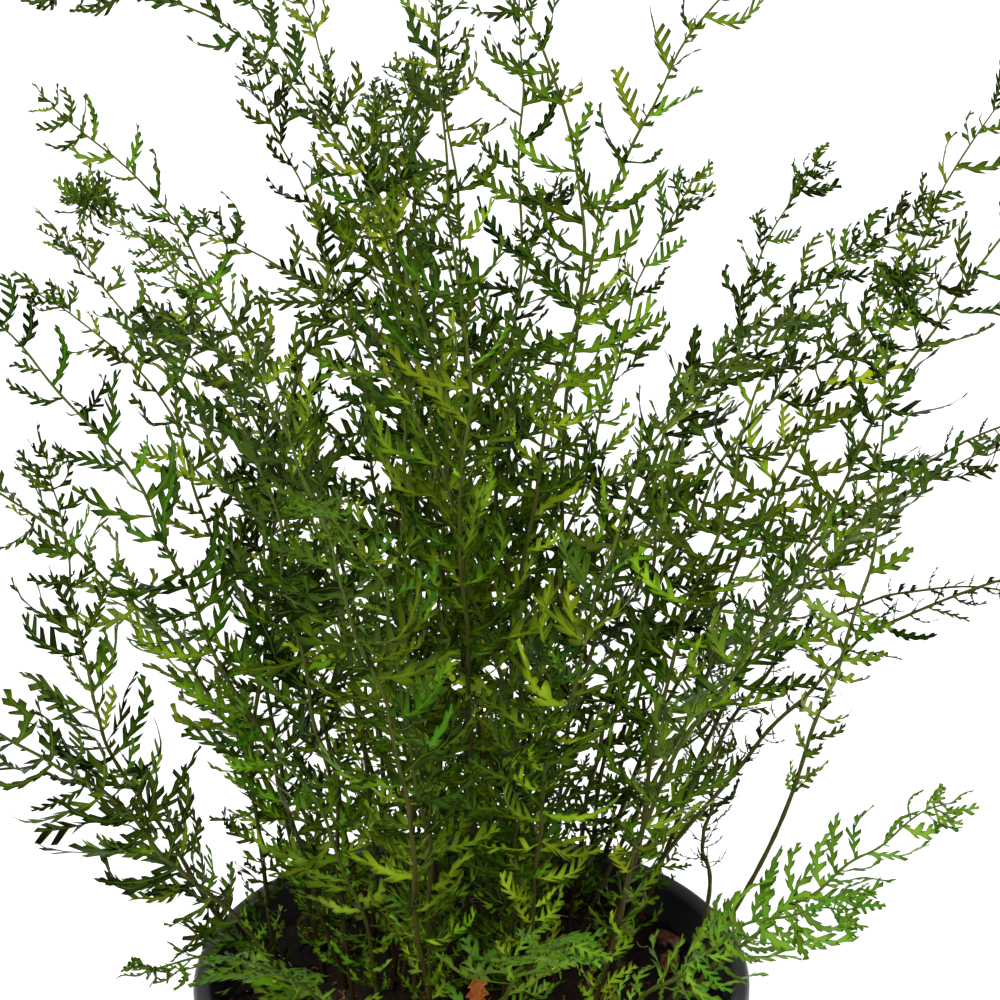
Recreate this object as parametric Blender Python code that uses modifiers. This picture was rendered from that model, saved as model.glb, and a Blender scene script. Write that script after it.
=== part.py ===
"""A potted fern: a rolled-rim nursery pot, its compost, the crown and the fronds that grow from it.

Metres, +Z up. The origin is under the middle of the pot. Every frond is one object, because a frond
grows as one piece: a stem that carries its leaflets.
"""

import math
import random
from typing import NamedTuple

import bmesh
import bpy
import numpy as np

# The pot
RIM_DIAMETER = 0.190
BASE_DIAMETER = 0.144
POT_HEIGHT = 0.150
POT_WALL = 0.0018
LIP_WIDTH = 0.0062
SKIRT_DROP = 0.015
CHANNEL_RISE = 0.003
PAD_RADIUS = 0.026
FOOT_RING_WIDTH = 0.008
HOLE_DIAMETER = 0.011
HOLE_COUNT = 6
POT_STEPS = 44

# What it holds
GAP = 0.0003
HEADSPACE = 0.015
COMPOST_DOME = 0.005
CROWN_RADIUS = 0.060
CROWN_HEIGHT = 0.009
CROWN_EDGE = 0.0015

# The fronds
STEM_RADIUS = 0.0012
TIP_RADIUS = 0.0003
LEAFLET_ROOT = 0.004
STEM_CLEARANCE = 0.0012
LEAFLET_CLEARANCE = 0.0006
POT_CLEARANCE = 0.0015
FILLER_FRONDS = 20
INNER_RANK = 0.62
LIGHT_SIDE = 150
NUDGE_DEGREES = 5
MOST_NUDGES = 24
SEED = 11

# Litter on the compost
BARK_LENGTH = 0.013
BARK_WIDTH = 0.0065
BARK_THICKNESS = 0.0036
BARK_SKEW = 0.0022
BARK_BEVEL = 0.0006
DEAD_LEAF_LENGTH = 0.027
YELLOW_LEAF_LENGTH = 0.012
LEAF_WIDTH_SHARE = 0.44
LEAF_THICKNESS = 0.0006
LEAF_CURL = 0.25
LEAF_CUP = 0.10

GOLDEN_ANGLE = math.radians(137.508)


class Kind(NamedTuple):
    """What fronds of one look share: the stem's bare share, leaflet pairs, leaflet length and colour."""

    bare: float
    pairs: int
    leaflet: float
    colour: str


class Frond(NamedTuple):
    """Where a frond starts and how it bends. Angles are in degrees, lengths in metres.

    around and out place its foot, out as a share of the compost's radius. heading is the way it leans:
    lean from upright at the foot and nod more at the tip, and a bigger late brings that bend nearer the
    tip. turn twists its blade about the stem.
    """

    kind: str
    around: float
    out: float
    heading: float
    lean: float
    nod: float
    late: float
    length: float
    turn: float


class Litter(NamedTuple):
    """What lies where: degrees from +X, share of the way out to the wall, turn, and tilt up from lying flat."""

    kind: str
    degrees: float
    share: float
    turn: float
    tilt: float


KINDS = {
    "frond": Kind(0.20, 10, 0.030, "3F5A1A"),
    "young_frond": Kind(0.16, 6, 0.026, "7FA52A"),
    "wiry_frond": Kind(0.40, 8, 0.013, "33441C"),
    "crested_frond": Kind(0.42, 6, 0.020, "4A6A20"),
}

# The fronds that give the plant its outline, placed one by one.
OUTLINE = [
    Frond("crested_frond", -10, 0.76, 0, 34, -38, 0.9, 0.262, 80),
    Frond("frond", 45, 0.80, 2, 20, 12, 1.2, 0.345, 70),
    Frond("frond", 20, 0.14, 0, 2, 52, 3.0, 0.372, 75),
    Frond("frond", 180, 0.76, 5, -5, 36, 1.3, 0.325, -60),
    Frond("frond", 200, 0.18, 178, -4, 104, 3.4, 0.385, 70),
    Frond("crested_frond", 165, 0.34, 176, 2, 62, 2.6, 0.290, 70),
    Frond("frond", 190, 0.50, 182, 14, 34, 2.0, 0.290, -75),
    Frond("frond", 25, 0.70, 0, 18, 22, 1.6, 0.345, 75),
    Frond("frond", 195, 0.69, 184, 42, -44, 1.0, 0.215, -70),
    Frond("frond", 205, 0.66, 186, 28, 36, 1.0, 0.210, 75),
    Frond("frond", 285, 0.36, 290, 4, 26, 1.6, 0.150, -10),
    Frond("frond", 255, 0.36, 250, 4, 30, 1.6, 0.170, 10),
    Frond("young_frond", 222, 0.46, 215, 8, 34, 1.4, 0.135, 40),
    Frond("frond", 160, 0.50, 174, 22, 46, 1.6, 0.250, 60),
    Frond("young_frond", -18, 0.73, -14, 40, 8, 1.0, 0.128, 80),
    Frond("wiry_frond", 0, 0.85, 10, 8, -14, 1.0, 0.130, 80),
    Frond("wiry_frond", 15, 0.41, -3, 20, 74, 2.4, 0.285, 75),
    Frond("wiry_frond", -5, 0.50, -8, 26, 70, 2.0, 0.255, 80),
    Frond("wiry_frond", 25, 0.59, 4, 24, 108, 2.6, 0.225, 70),
    Frond("frond", 30, 0.34, 3, 6, 66, 2.4, 0.300, 80),
    Frond("frond", 70, 0.24, 176, -8, 110, 5.0, 0.392, 80),
    Frond("frond", 120, 0.34, 165, 1, 58, 3.6, 0.365, 70),
    Frond("frond", 95, 0.41, 100, 1, 26, 2.0, 0.365, -8),
    Frond("frond", 265, 0.18, 262, 3, 24, 2.4, 0.350, 12),
    Frond("frond", 75, 0.59, 82, -2, 30, 2.2, 0.350, 20),
    Frond("young_frond", 262, 0.39, 262, 6, 56, 1.8, 0.245, 10),
    Frond("young_frond", 275, 0.64, 284, 24, 46, 1.2, 0.150, -15),
    Frond("young_frond", 240, 0.66, 232, 30, 44, 1.2, 0.130, 20),
    Frond("young_frond", 310, 0.73, 325, 26, 40, 1.2, 0.125, 40),
]


def linear(hex_colour):
    """An sRGB hex colour as linear values with an alpha of one."""
    channels = [int(hex_colour[i : i + 2], 16) / 255 for i in (0, 2, 4)]
    return [c / 12.92 if c <= 0.04045 else ((c + 0.055) / 1.055) ** 2.4 for c in channels] + [1]


def material(name, hex_colour, roughness):
    made = bpy.data.materials.new(name)
    made.use_nodes = True
    shader = made.node_tree.nodes["Principled BSDF"]
    shader.inputs["Base Color"].default_value = linear(hex_colour)
    shader.inputs["Roughness"].default_value = roughness
    shader.inputs["Metallic"].default_value = 0.0
    made.diffuse_color = linear(hex_colour)
    return made


def collection(name):
    made = bpy.data.collections.new(name)
    bpy.context.scene.collection.children.link(made)
    return made


def add_object(name, data, into, hex_colour, roughness):
    made = bpy.data.objects.new(name, data)
    data.materials.append(material(name, hex_colour, roughness))
    into.objects.link(made)
    return made


def turned(name, profile, steps, into, hex_colour, roughness):
    """A solid of revolution about Z from a profile of (radius, height) that starts and ends on the axis."""
    mesh = bpy.data.meshes.new(name)
    points = [(r, 0.0, z) for r, z in profile]
    mesh.from_pydata(points, [(i, i + 1) for i in range(len(points) - 1)], [])
    made = add_object(name, mesh, into, hex_colour, roughness)
    screw = made.modifiers.new("Turn", "SCREW")
    screw.steps = steps
    screw.render_steps = steps
    screw.use_merge_vertices = True
    screw.merge_threshold = 0.00005
    return made


def shade(made, angle):
    """Gives the object its evaluated mesh, smooth except where it turns by more than the angle."""
    graph = bpy.context.evaluated_depsgraph_get()
    mesh = bpy.data.meshes.new_from_object(made.evaluated_get(graph))
    mesh.shade_smooth()
    mesh.set_sharp_from_angle(angle=math.radians(angle))
    made.modifiers.clear()
    made.data = mesh


# ---- pot -------------------------------------------------------------------------------------------

LIP_ROUND = LIP_WIDTH / 2
RIM_RADIUS = RIM_DIAMETER / 2
MOUTH_RADIUS = RIM_RADIUS - LIP_WIDTH
BASE_RADIUS = BASE_DIAMETER / 2
HOLE_CIRCLE = (PAD_RADIUS + BASE_RADIUS - FOOT_RING_WIDTH) / 2


def inner_radius(z):
    """The inside of the pot's wall at a height."""
    share = (z - POT_WALL) / (POT_HEIGHT - LIP_ROUND - POT_WALL)
    return BASE_RADIUS - POT_WALL + share * (MOUTH_RADIUS - BASE_RADIUS + POT_WALL)


def floor_line(lift):
    """The stepped floor from the axis out: a flat pad, a raised channel for the holes, a foot ring."""
    ring = BASE_RADIUS - FOOT_RING_WIDTH
    rise = CHANNEL_RISE
    return [
        (0.0, lift),
        (PAD_RADIUS, lift),
        (PAD_RADIUS + rise, rise + lift),
        (ring - rise, rise + lift),
        (ring, lift),
    ]


def arc(centre_r, centre_z, radius, start, end, count):
    """Points on an arc in the profile's plane, angles in degrees from +X."""
    angles = np.radians(np.linspace(start, end, count))
    return [(centre_r + radius * math.cos(a), centre_z + radius * math.sin(a)) for a in angles]


def pot_profile():
    top = POT_HEIGHT - LIP_ROUND
    skirt_foot = POT_HEIGHT - SKIRT_DROP
    middle = RIM_RADIUS - LIP_ROUND
    under = LIP_ROUND - POT_WALL
    profile = floor_line(POT_WALL)
    profile.append((inner_radius(POT_WALL), POT_WALL))
    profile += arc(middle, top, LIP_ROUND, 180, 0, 7)
    profile.append((RIM_RADIUS, skirt_foot))
    profile.append((RIM_RADIUS - POT_WALL, skirt_foot))
    profile += arc(middle, top, under, 0, 180, 5)
    profile.append((BASE_RADIUS, POT_WALL))
    profile.append((BASE_RADIUS - POT_WALL / 2, 0.0))
    profile += floor_line(0.0)[::-1]
    return profile


def make_pot(parts, cutters):
    pot = turned("pot", pot_profile(), POT_STEPS, parts, "26282A", 0.45)
    drills = bmesh.new()
    for i in range(HOLE_COUNT):
        angle = 2 * math.pi * (i + 0.5) / HOLE_COUNT
        drill = bmesh.ops.create_cone(
            drills,
            cap_ends=True,
            segments=12,
            radius1=HOLE_DIAMETER / 2,
            radius2=HOLE_DIAMETER / 2,
            depth=4 * (CHANNEL_RISE + POT_WALL),
        )
        place = (HOLE_CIRCLE * math.cos(angle), HOLE_CIRCLE * math.sin(angle), CHANNEL_RISE)
        bmesh.ops.translate(drills, verts=drill["verts"], vec=place)
    mesh = bpy.data.meshes.new("drain_drills")
    drills.to_mesh(mesh)
    drills.free()
    cutter = add_object("drain_drills", mesh, cutters, "808080", 0.5)
    cutter.hide_render = True
    cutter.display_type = "WIRE"
    cut = pot.modifiers.new("Drain holes", "BOOLEAN")
    cut.object = cutter
    cut.operation = "DIFFERENCE"
    cut.solver = "EXACT"
    shade(pot, 32)


# ---- compost and crown -----------------------------------------------------------------------------

FILL_HEIGHT = POT_HEIGHT - HEADSPACE
FILL_RADIUS = inner_radius(FILL_HEIGHT)


def compost_top(r):
    """Height of the compost's domed surface."""
    return FILL_HEIGHT + COMPOST_DOME * (1 - (r / FILL_RADIUS) ** 2)


def ground(r):
    """Height of what a stem stands on, the crown or the compost round it."""
    if r >= CROWN_RADIUS:
        return compost_top(r)
    return compost_top(r) + GAP + CROWN_EDGE + CROWN_HEIGHT * (1 - (r / CROWN_RADIUS) ** 2)


def make_compost(parts):
    lift = POT_WALL + 1.5 * GAP
    side = FILL_RADIUS - GAP
    profile = [(side * s, compost_top(side * s)) for s in (0.0, 0.2, 0.4, 0.6, 0.8, 1.0)]
    profile.append((inner_radius(lift) - 1.5 * GAP, lift))
    profile += floor_line(lift)[::-1]
    shade(turned("compost", profile, POT_STEPS, parts, "1E1712", 0.95), 32)


def make_crown(parts):
    edge = CROWN_RADIUS
    profile = [(edge * s, ground(edge * s)) for s in (0.0, 0.4, 0.68, 0.86, 0.97, 0.9999)]
    profile += [(edge * s, compost_top(edge * s) + GAP) for s in (1.0, 0.75, 0.5, 0.25, 0.0)]
    shade(turned("crown", profile, POT_STEPS, parts, "3A2A1C", 0.9), 60)


# ---- distances -------------------------------------------------------------------------------------


def nearest(a, b, starts, ends):
    """Distances from the segment a-b to each of the segments starts-ends."""
    along = b - a
    others = ends - starts
    between = a - starts
    aa = along @ along
    oo = np.maximum((others * others).sum(1), 1e-12)
    ao = others @ along
    ab = between @ along
    ob = (others * between).sum(1)
    spread = aa * oo - ao * ao
    s = np.where(spread > 1e-15, np.clip((ao * ob - ab * oo) / np.maximum(spread, 1e-15), 0, 1), 0.0)
    t = np.clip((ao * s + ob) / oo, 0, 1)
    s = np.clip((ao * t - ab) / max(aa, 1e-12), 0, 1)
    gaps = between + s[:, None] * along - t[:, None] * others
    return np.sqrt((gaps * gaps).sum(1))


class Taken:
    """The space already in use, as segments with a thickness, each marked with its owner."""

    def __init__(self):
        self.starts = np.zeros((0, 3))
        self.ends = np.zeros((0, 3))
        self.radii = np.zeros(0)
        self.owners = np.zeros(0, int)

    def add(self, starts, ends, radii, owner):
        self.starts = np.vstack([self.starts, starts])
        self.ends = np.vstack([self.ends, ends])
        self.radii = np.append(self.radii, radii)
        self.owners = np.append(self.owners, np.full(len(radii), owner))

    def free(self, starts, ends, radii, owner, clearance):
        """Whether these segments keep the clearance to everything of other owners."""
        others = self.owners != owner
        for a, b, radius in zip(starts, ends, radii):
            room = nearest(a, b, self.starts[others], self.ends[others]) - self.radii[others] - radius
            if len(room) and room.min() < clearance:
                return False
        return True


def clear_of_pot(points, room):
    """Whether points keep room above the ground inside the pot and beyond the rim outside it."""
    r = np.hypot(points[:, 0], points[:, 1])
    floor = np.array([ground(min(x, RIM_RADIUS)) for x in r]) + room
    inside = (r < MOUTH_RADIUS - room) & (points[:, 2] > floor)
    above = points[:, 2] > POT_HEIGHT + room
    outside = (r > RIM_RADIUS + room) & (points[:, 2] > POT_HEIGHT / 2)
    return bool((inside | above | outside).all())


# ---- fronds ----------------------------------------------------------------------------------------


def filler_fronds(rng):
    """The fronds that fill the middle: feet on a sunflower spiral, the inner ones upright, tall and drawn to the light side.

    Their blades turn to the light, which comes from the front, so turn undoes most of the heading.
    """
    made = []
    for i in range(FILLER_FRONDS):
        rank = math.sqrt((i + 0.5) / FILLER_FRONDS)
        around = math.degrees(i * GOLDEN_ANGLE)
        heading = around + rng.uniform(-40, 40)
        if rank < INNER_RANK:
            heading = LIGHT_SIDE + rng.uniform(-50, 50)
        made.append(
            Frond(
                kind="frond",
                around=around,
                out=0.92 * rank * CROWN_RADIUS / FILL_RADIUS,
                heading=heading,
                lean=1 + 10 * rank + rng.uniform(-3, 3),
                nod=16 + 30 * rank + rng.uniform(-10, 26),
                late=rng.uniform(1.6, 3.6),
                length=0.348 - 0.070 * rank + rng.uniform(-0.030, 0.015),
                turn=90 - heading + rng.uniform(-45, 45),
            )
        )
    return made


def foot_height(base, tangent, heading):
    """Height at which the circle round a stem's foot, square to the stem, just clears the ground."""
    level = np.array([-math.sin(heading), math.cos(heading), 0.0])
    angles = np.linspace(0, 2 * math.pi, 24, endpoint=False)[:, None]
    ring = STEM_RADIUS * (np.cos(angles) * level + np.sin(angles) * np.cross(tangent, level))
    radii = np.hypot(*(base + ring)[:, :2].T)
    return max(ground(r) - z for r, z in zip(radii, ring[:, 2])) + GAP


def spine(frond, stations):
    """Points along the stem at shares of its length, with the tangent and the blade's sideways direction.

    The stem's angle from upright grows as lean + nod * share ** late, and its points are the running
    sum of small steps in that direction.
    """
    foot = math.radians(frond.around)
    out = frond.out * FILL_RADIUS
    fine = np.linspace(0, 1, 201)
    tilt = np.radians(frond.lean + frond.nod * fine**frond.late)
    heading = math.radians(frond.heading)
    way = np.array([math.cos(heading), math.sin(heading), 0.0])
    steps = np.sin(tilt)[:, None] * way + np.cos(tilt)[:, None] * np.array([0.0, 0.0, 1.0])
    middles = (steps[1:] + steps[:-1]) / 2 * frond.length / 200
    run = np.vstack([np.zeros(3), np.cumsum(middles, axis=0)])
    base = np.array([out * math.cos(foot), out * math.sin(foot), 0.0])
    run += base + np.array([0.0, 0.0, foot_height(base, steps[0], heading)])
    points = np.stack([np.interp(stations, fine, run[:, k]) for k in range(3)], axis=1)
    tangents = np.stack([np.interp(stations, fine, steps[:, k]) for k in range(3)], axis=1)
    tangents /= np.linalg.norm(tangents, axis=1)[:, None]
    level = np.tile([-math.sin(heading), math.cos(heading), 0.0], (len(stations), 1))
    face = np.cross(tangents, level)
    turn = math.radians(frond.turn)
    return points, tangents, math.cos(turn) * level + math.sin(turn) * face


def stations_of(frond):
    """Shares of the length at which the stem has rings, and which of the segments carry leaflets."""
    kind = KINDS[frond.kind]
    half = LEAFLET_ROOT / 2 / frond.length
    seats = np.linspace(kind.bare, 0.95, kind.pairs)
    rings = [0.0, kind.bare * 0.45]
    carrying = []
    for seat in seats:
        carrying.append(len(rings))
        rings += [seat - half, seat + half]
    rings.append(1.0)
    return np.array(rings), carrying


def stem_radii(stations):
    return TIP_RADIUS + (STEM_RADIUS - TIP_RADIUS) * (1 - stations**1.5)


def settle(frond, number, taken):
    """The frond with its foot shifted round the crown, in growing steps, until its stem is clear."""
    stations = np.linspace(0, 1, 14)
    radii = stem_radii(stations[:-1])
    for nudge in range(0, MOST_NUDGES * NUDGE_DEGREES, NUDGE_DEGREES):
        for sign in (1, -1):
            moved = frond._replace(
                around=frond.around + sign * nudge,
                heading=frond.heading + sign * nudge / 3,
            )
            points = spine(moved, stations)[0]
            if not clear_of_pot(points[1:], POT_CLEARANCE + STEM_RADIUS):
                continue
            if taken.free(points[:-1], points[1:], radii, number, STEM_CLEARANCE):
                taken.add(points[:-1], points[1:], radii, number)
                return moved
    raise ValueError(f"no room for the stem of frond {number}")


def leaflet_length(frond, share):
    """Full length a third of the way up the blade, less at its foot, and half at the tip."""
    rise = 0.62 + 0.38 * min(share / 0.3, 1.0)
    fall = 1.0 - 0.50 * max(share - 0.35, 0.0) / 0.65
    return KINDS[frond.kind].leaflet * rise * fall


def leaflets_of(frond, number, taken, rng):
    """The leaflets that find room: (segment, side, tip) of each, tried at a few angles and lengths."""
    stations, carrying = stations_of(frond)
    points, tangents, sides = spine(frond, stations)
    kept = []
    for order, segment in enumerate(carrying):
        share = order / (len(carrying) - 1)
        root = (points[segment] + points[segment + 1]) / 2
        tangent = tangents[segment]
        face = np.cross(sides[segment], tangent)
        for side in (1, -1):
            length = leaflet_length(frond, share) * rng.uniform(0.85, 1.1)
            forward = 38 + 16 * share + rng.uniform(-9, 9)
            lift = rng.uniform(-16, 22)
            tip = find_tip(root, tangent, side * sides[segment], face, length, forward, lift, number, taken)
            if tip is not None:
                kept.append((segment, side, tip))
    return stations, points, sides, kept


def find_tip(root, tangent, outward, face, length, forward, lift, number, taken):
    """The tip of a leaflet at root, or None where no angle and length is clear."""
    for shrink in (1.0, 0.8, 0.62):
        for swing, tip_up in ((0, 0), (12, 14), (-10, -16), (4, 30), (16, -30), (-14, 40)):
            a = math.radians(forward + swing)
            b = math.radians(lift + tip_up)
            flat = math.cos(a) * outward + math.sin(a) * tangent
            way = math.cos(b) * flat + math.sin(b) * face
            tip = root + length * shrink * way
            marks = root + np.linspace(0, 1, 5)[:, None] * (tip - root)
            thick = np.interp([0.1, 0.4, 0.7, 0.95], [0, 1], [LEAFLET_ROOT / 2, TIP_RADIUS])
            if not clear_of_pot(marks[1:], POT_CLEARANCE):
                continue
            if taken.free(marks[:-1], marks[1:], thick, number, LEAFLET_CLEARANCE):
                taken.add(marks[:-1], marks[1:], thick, number)
                return tip
    return None


def make_frond(name, frond, number, taken, rng, parts):
    """A four-sided tapering stem whose short segments have a side face drawn out into each leaflet."""
    stations, points, sides, leaflets = leaflets_of(frond, number, taken, rng)
    curve = bpy.data.curves.new(name, "CURVE")
    curve.dimensions = "3D"
    curve.bevel_depth = 1.0
    curve.bevel_resolution = 0
    curve.use_fill_caps = True
    line = curve.splines.new("POLY")
    line.points.add(len(points) - 1)
    for point, place, radius in zip(line.points, points, stem_radii(stations)):
        point.co = (*place, 1.0)
        point.radius = radius
    tube = bpy.data.objects.new(name + "_stem", curve)
    parts.objects.link(tube)
    graph = bpy.context.evaluated_depsgraph_get()
    mesh = bpy.data.meshes.new_from_object(tube.evaluated_get(graph))
    bpy.data.objects.remove(tube)
    bpy.data.curves.remove(curve)
    body = bmesh.new()
    body.from_mesh(mesh)
    bmesh.ops.remove_doubles(body, verts=body.verts, dist=0.00001)
    bmesh.ops.recalc_face_normals(body, faces=body.faces)
    quads = [f for f in body.faces if len(f.verts) == 4]
    centres = np.array([f.calc_center_median() for f in quads])
    normals = np.array([f.normal for f in quads])
    used = set()
    for segment, side, tip in leaflets:
        middle = (points[segment] + points[segment + 1]) / 2
        near = np.linalg.norm(centres - middle, axis=1) < 1.2 * STEM_RADIUS
        fit = np.where(near, normals @ (side * sides[segment]), -1.0)
        fit[list(used)] = -1.0
        best = int(fit.argmax())
        used.add(best)
        poked = bmesh.ops.poke(body, faces=[quads[best]])
        poked["verts"][0].co = tip
    made = bpy.data.meshes.new(name)
    body.to_mesh(made)
    body.free()
    bpy.data.meshes.remove(mesh)
    made.name = name
    add_object(name, made, parts, KINDS[frond.kind].colour, 0.6)


def make_fronds(taken, parts):
    rng = random.Random(SEED)
    wanted = OUTLINE + filler_fronds(rng)
    settled = [settle(frond, number, taken) for number, frond in enumerate(wanted)]
    counts = {}
    for number, frond in enumerate(settled):
        counts[frond.kind] = counts.get(frond.kind, 0) + 1
        make_frond(f"{frond.kind}_{counts[frond.kind]:02d}", frond, number, taken, rng, parts)


# ---- litter ----------------------------------------------------------------------------------------

LITTER = [
    Litter("dead_leaf", 275, 0.545, 90, 80),
    Litter("yellow_leaf", 41, 0.85, 105, 62),
    Litter("bark_chip", 205, 0.96, 100, 0),
    Litter("bark_chip", 246, 0.98, 30, 0),
    Litter("bark_chip", 14, 0.89, 65, 0),
    Litter("bark_chip", 26, 0.97, 130, 0),
    Litter("bark_chip", 130, 0.96, 50, 0),
]
LITTER_LENGTHS = {"dead_leaf": DEAD_LEAF_LENGTH, "yellow_leaf": YELLOW_LEAF_LENGTH, "bark_chip": BARK_LENGTH}
LITTER_COLOURS = {"dead_leaf": "A5662C", "yellow_leaf": "C9B04A", "bark_chip": "4A2C1C"}


def litter_place(piece):
    """The middle of a piece of litter and half its length as a vector: inside the wall, and just above the ground."""
    half = LITTER_LENGTHS[piece.kind] / 2
    out = piece.share * (FILL_RADIUS - half)
    angle, turn, tilt = (math.radians(a) for a in (piece.degrees, piece.turn, piece.tilt))
    level, rise = half * math.cos(tilt), half * math.sin(tilt)
    reach = np.array([level * math.cos(turn), level * math.sin(turn), rise])
    middle = np.array([out * math.cos(angle), out * math.sin(angle), 0.0])
    marks = middle + np.linspace(-1, 1, 9)[:, None] * reach
    radii = np.hypot(marks[:, 0], marks[:, 1]) - BARK_WIDTH / 2 * math.cos(tilt)
    middle[2] = max(ground(r) - z for r, z in zip(radii, marks[:, 2])) + GAP
    return middle, reach


def reserve_litter(taken):
    """Marks where the litter is, so that no stem starts there."""
    for owner, piece in enumerate(LITTER):
        middle, half = litter_place(piece)
        taken.add([middle - half], [middle + half], [BARK_WIDTH], -1 - owner)


def bark_mesh(name):
    """A chip: a cube drawn out, its ends skewed, with bevelled edges."""
    chip = bmesh.new()
    bmesh.ops.create_cube(chip, size=1.0)
    for vert in chip.verts:
        vert.co.x = vert.co.x * (BARK_LENGTH - BARK_SKEW) + vert.co.y * BARK_SKEW
        vert.co.y *= BARK_WIDTH
        vert.co.z = (vert.co.z + 0.5) * BARK_THICKNESS
    bmesh.ops.bevel(chip, geom=chip.edges[:], offset=BARK_BEVEL, segments=1, affect="EDGES")
    mesh = bpy.data.meshes.new(name)
    chip.to_mesh(mesh)
    chip.free()
    return mesh


def leaf_mesh(name, length):
    """A shed leaf: a pointed oval grid whose ends and edges curl up."""
    leaf = bmesh.new()
    bmesh.ops.create_grid(leaf, x_segments=6, y_segments=2, size=0.5)
    for vert in leaf.verts:
        along = vert.co.x
        half_width = LEAF_WIDTH_SHARE / 2 * math.cos(math.pi * along * 0.86)
        vert.co.z = length * (LEAF_CURL * along * along + LEAF_CUP * abs(vert.co.y)) + LEAF_THICKNESS
        vert.co.y *= 2 * half_width * length
        vert.co.x *= length
    mesh = bpy.data.meshes.new(name)
    leaf.to_mesh(mesh)
    leaf.free()
    return mesh


def make_litter(parts):
    chips = 0
    for piece in LITTER:
        name, length = piece.kind, LITTER_LENGTHS[piece.kind]
        if name == "bark_chip":
            chips += 1
            name = f"bark_chip_{chips}"
        mesh = leaf_mesh(name, length) if name == piece.kind else bark_mesh(name)
        made = add_object(name, mesh, parts, LITTER_COLOURS[piece.kind], 0.9)
        if name == piece.kind:
            wall = made.modifiers.new("Thickness", "SOLIDIFY")
            wall.thickness = LEAF_THICKNESS
            wall.offset = 1.0
        made.location = litter_place(piece)[0]
        made.rotation_euler = (0, -math.radians(piece.tilt), math.radians(piece.turn))


def main():
    for old in list(bpy.data.objects):
        bpy.data.objects.remove(old)
    parts = collection("potted_fern")
    cutters = collection("cutters")
    make_pot(parts, cutters)
    make_compost(parts)
    make_crown(parts)
    taken = Taken()
    reserve_litter(taken)
    make_fronds(taken, parts)
    make_litter(parts)


main()
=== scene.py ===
"""A potted fern: a live clump of slender fronds in a black nursery pot.

Each surface is worked out as whole arrays, from the places that the part's own model gives its stems,
leaflets, pot and compost. Sizes are in metres.
"""

import math
from typing import NamedTuple

import bpy
import numpy as np
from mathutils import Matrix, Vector


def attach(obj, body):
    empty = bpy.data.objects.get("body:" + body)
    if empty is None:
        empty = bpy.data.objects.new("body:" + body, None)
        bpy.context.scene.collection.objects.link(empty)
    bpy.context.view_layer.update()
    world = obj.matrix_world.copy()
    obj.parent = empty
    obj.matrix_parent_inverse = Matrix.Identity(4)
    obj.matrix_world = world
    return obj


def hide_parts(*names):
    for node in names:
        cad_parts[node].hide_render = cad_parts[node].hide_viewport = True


bl_info = {
    "name": "Potted Fern",
    "version": (1, 0, 0),
    "blender": (4, 5, 0),
    "location": "3D View > Sidebar > Fern",
    "description": "Grows a potted fern round the frame of its part",
    "category": "Add Mesh",
}

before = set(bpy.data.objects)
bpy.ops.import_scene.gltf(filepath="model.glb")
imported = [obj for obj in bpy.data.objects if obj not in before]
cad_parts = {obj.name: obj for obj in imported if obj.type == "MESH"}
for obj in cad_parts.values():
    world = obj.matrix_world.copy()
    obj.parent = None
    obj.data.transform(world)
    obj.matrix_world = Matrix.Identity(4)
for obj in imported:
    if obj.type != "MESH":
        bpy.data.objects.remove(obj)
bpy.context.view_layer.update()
BODY = "root"
MM = 0.001
WHITE = (1.0, 1.0, 1.0)


# ---- shared helpers --------------------------------------------------------------------------------


def linear(hex_colour):
    """An sRGB hex colour as linear red, green and blue."""
    parts = [int(hex_colour[i : i + 2], 16) / 255 for i in (0, 2, 4)]
    return tuple(c / 12.92 if c <= 0.04045 else ((c + 0.055) / 1.055) ** 2.4 for c in parts)


def rgba(colour):
    return (*colour, 1.0)


def add(tree, kind, inputs=None, out=0, stops=None, **settings):
    """Adds a node and gives back the output asked for.

    Its inputs are named, or listed in the node's own order. One that is given a socket is linked, and one
    that is given a value is set.
    """
    made = tree.nodes.new("ShaderNode" + kind)
    for name, value in settings.items():
        setattr(made, name, value)
    for key, value in inputs.items() if isinstance(inputs, dict) else enumerate(inputs or ()):
        if isinstance(value, bpy.types.NodeSocket):
            tree.links.new(value, made.inputs[key])
        else:
            made.inputs[key].default_value = value
    if stops:
        elements = made.color_ramp.elements
        while len(elements) < len(stops):
            elements.new(1.0)
        for element, (position, colour) in zip(elements, stops):
            element.position = position
            element.color = rgba(colour)
    return made.outputs[out] if len(made.outputs) else None


def material(name, **sockets):
    """A material with one Principled shader, whose constant sockets are set here."""
    made = bpy.data.materials.new(name)
    made.use_nodes = True
    tree = made.node_tree
    tree.nodes.clear()
    shade = add(tree, "BsdfPrincipled", {key.replace("_", " "): value for key, value in sockets.items()})
    add(tree, "OutputMaterial", {"Surface": shade})
    return made, tree, shade.node


def coat(tree, shader, colour, gloss, bumps):
    """Gives the shader its colour, its roughness and its bumps."""
    for socket, source in (("Base Color", colour), ("Roughness", gloss), ("Normal", bumps)):
        tree.links.new(source, shader.inputs[socket])


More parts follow.
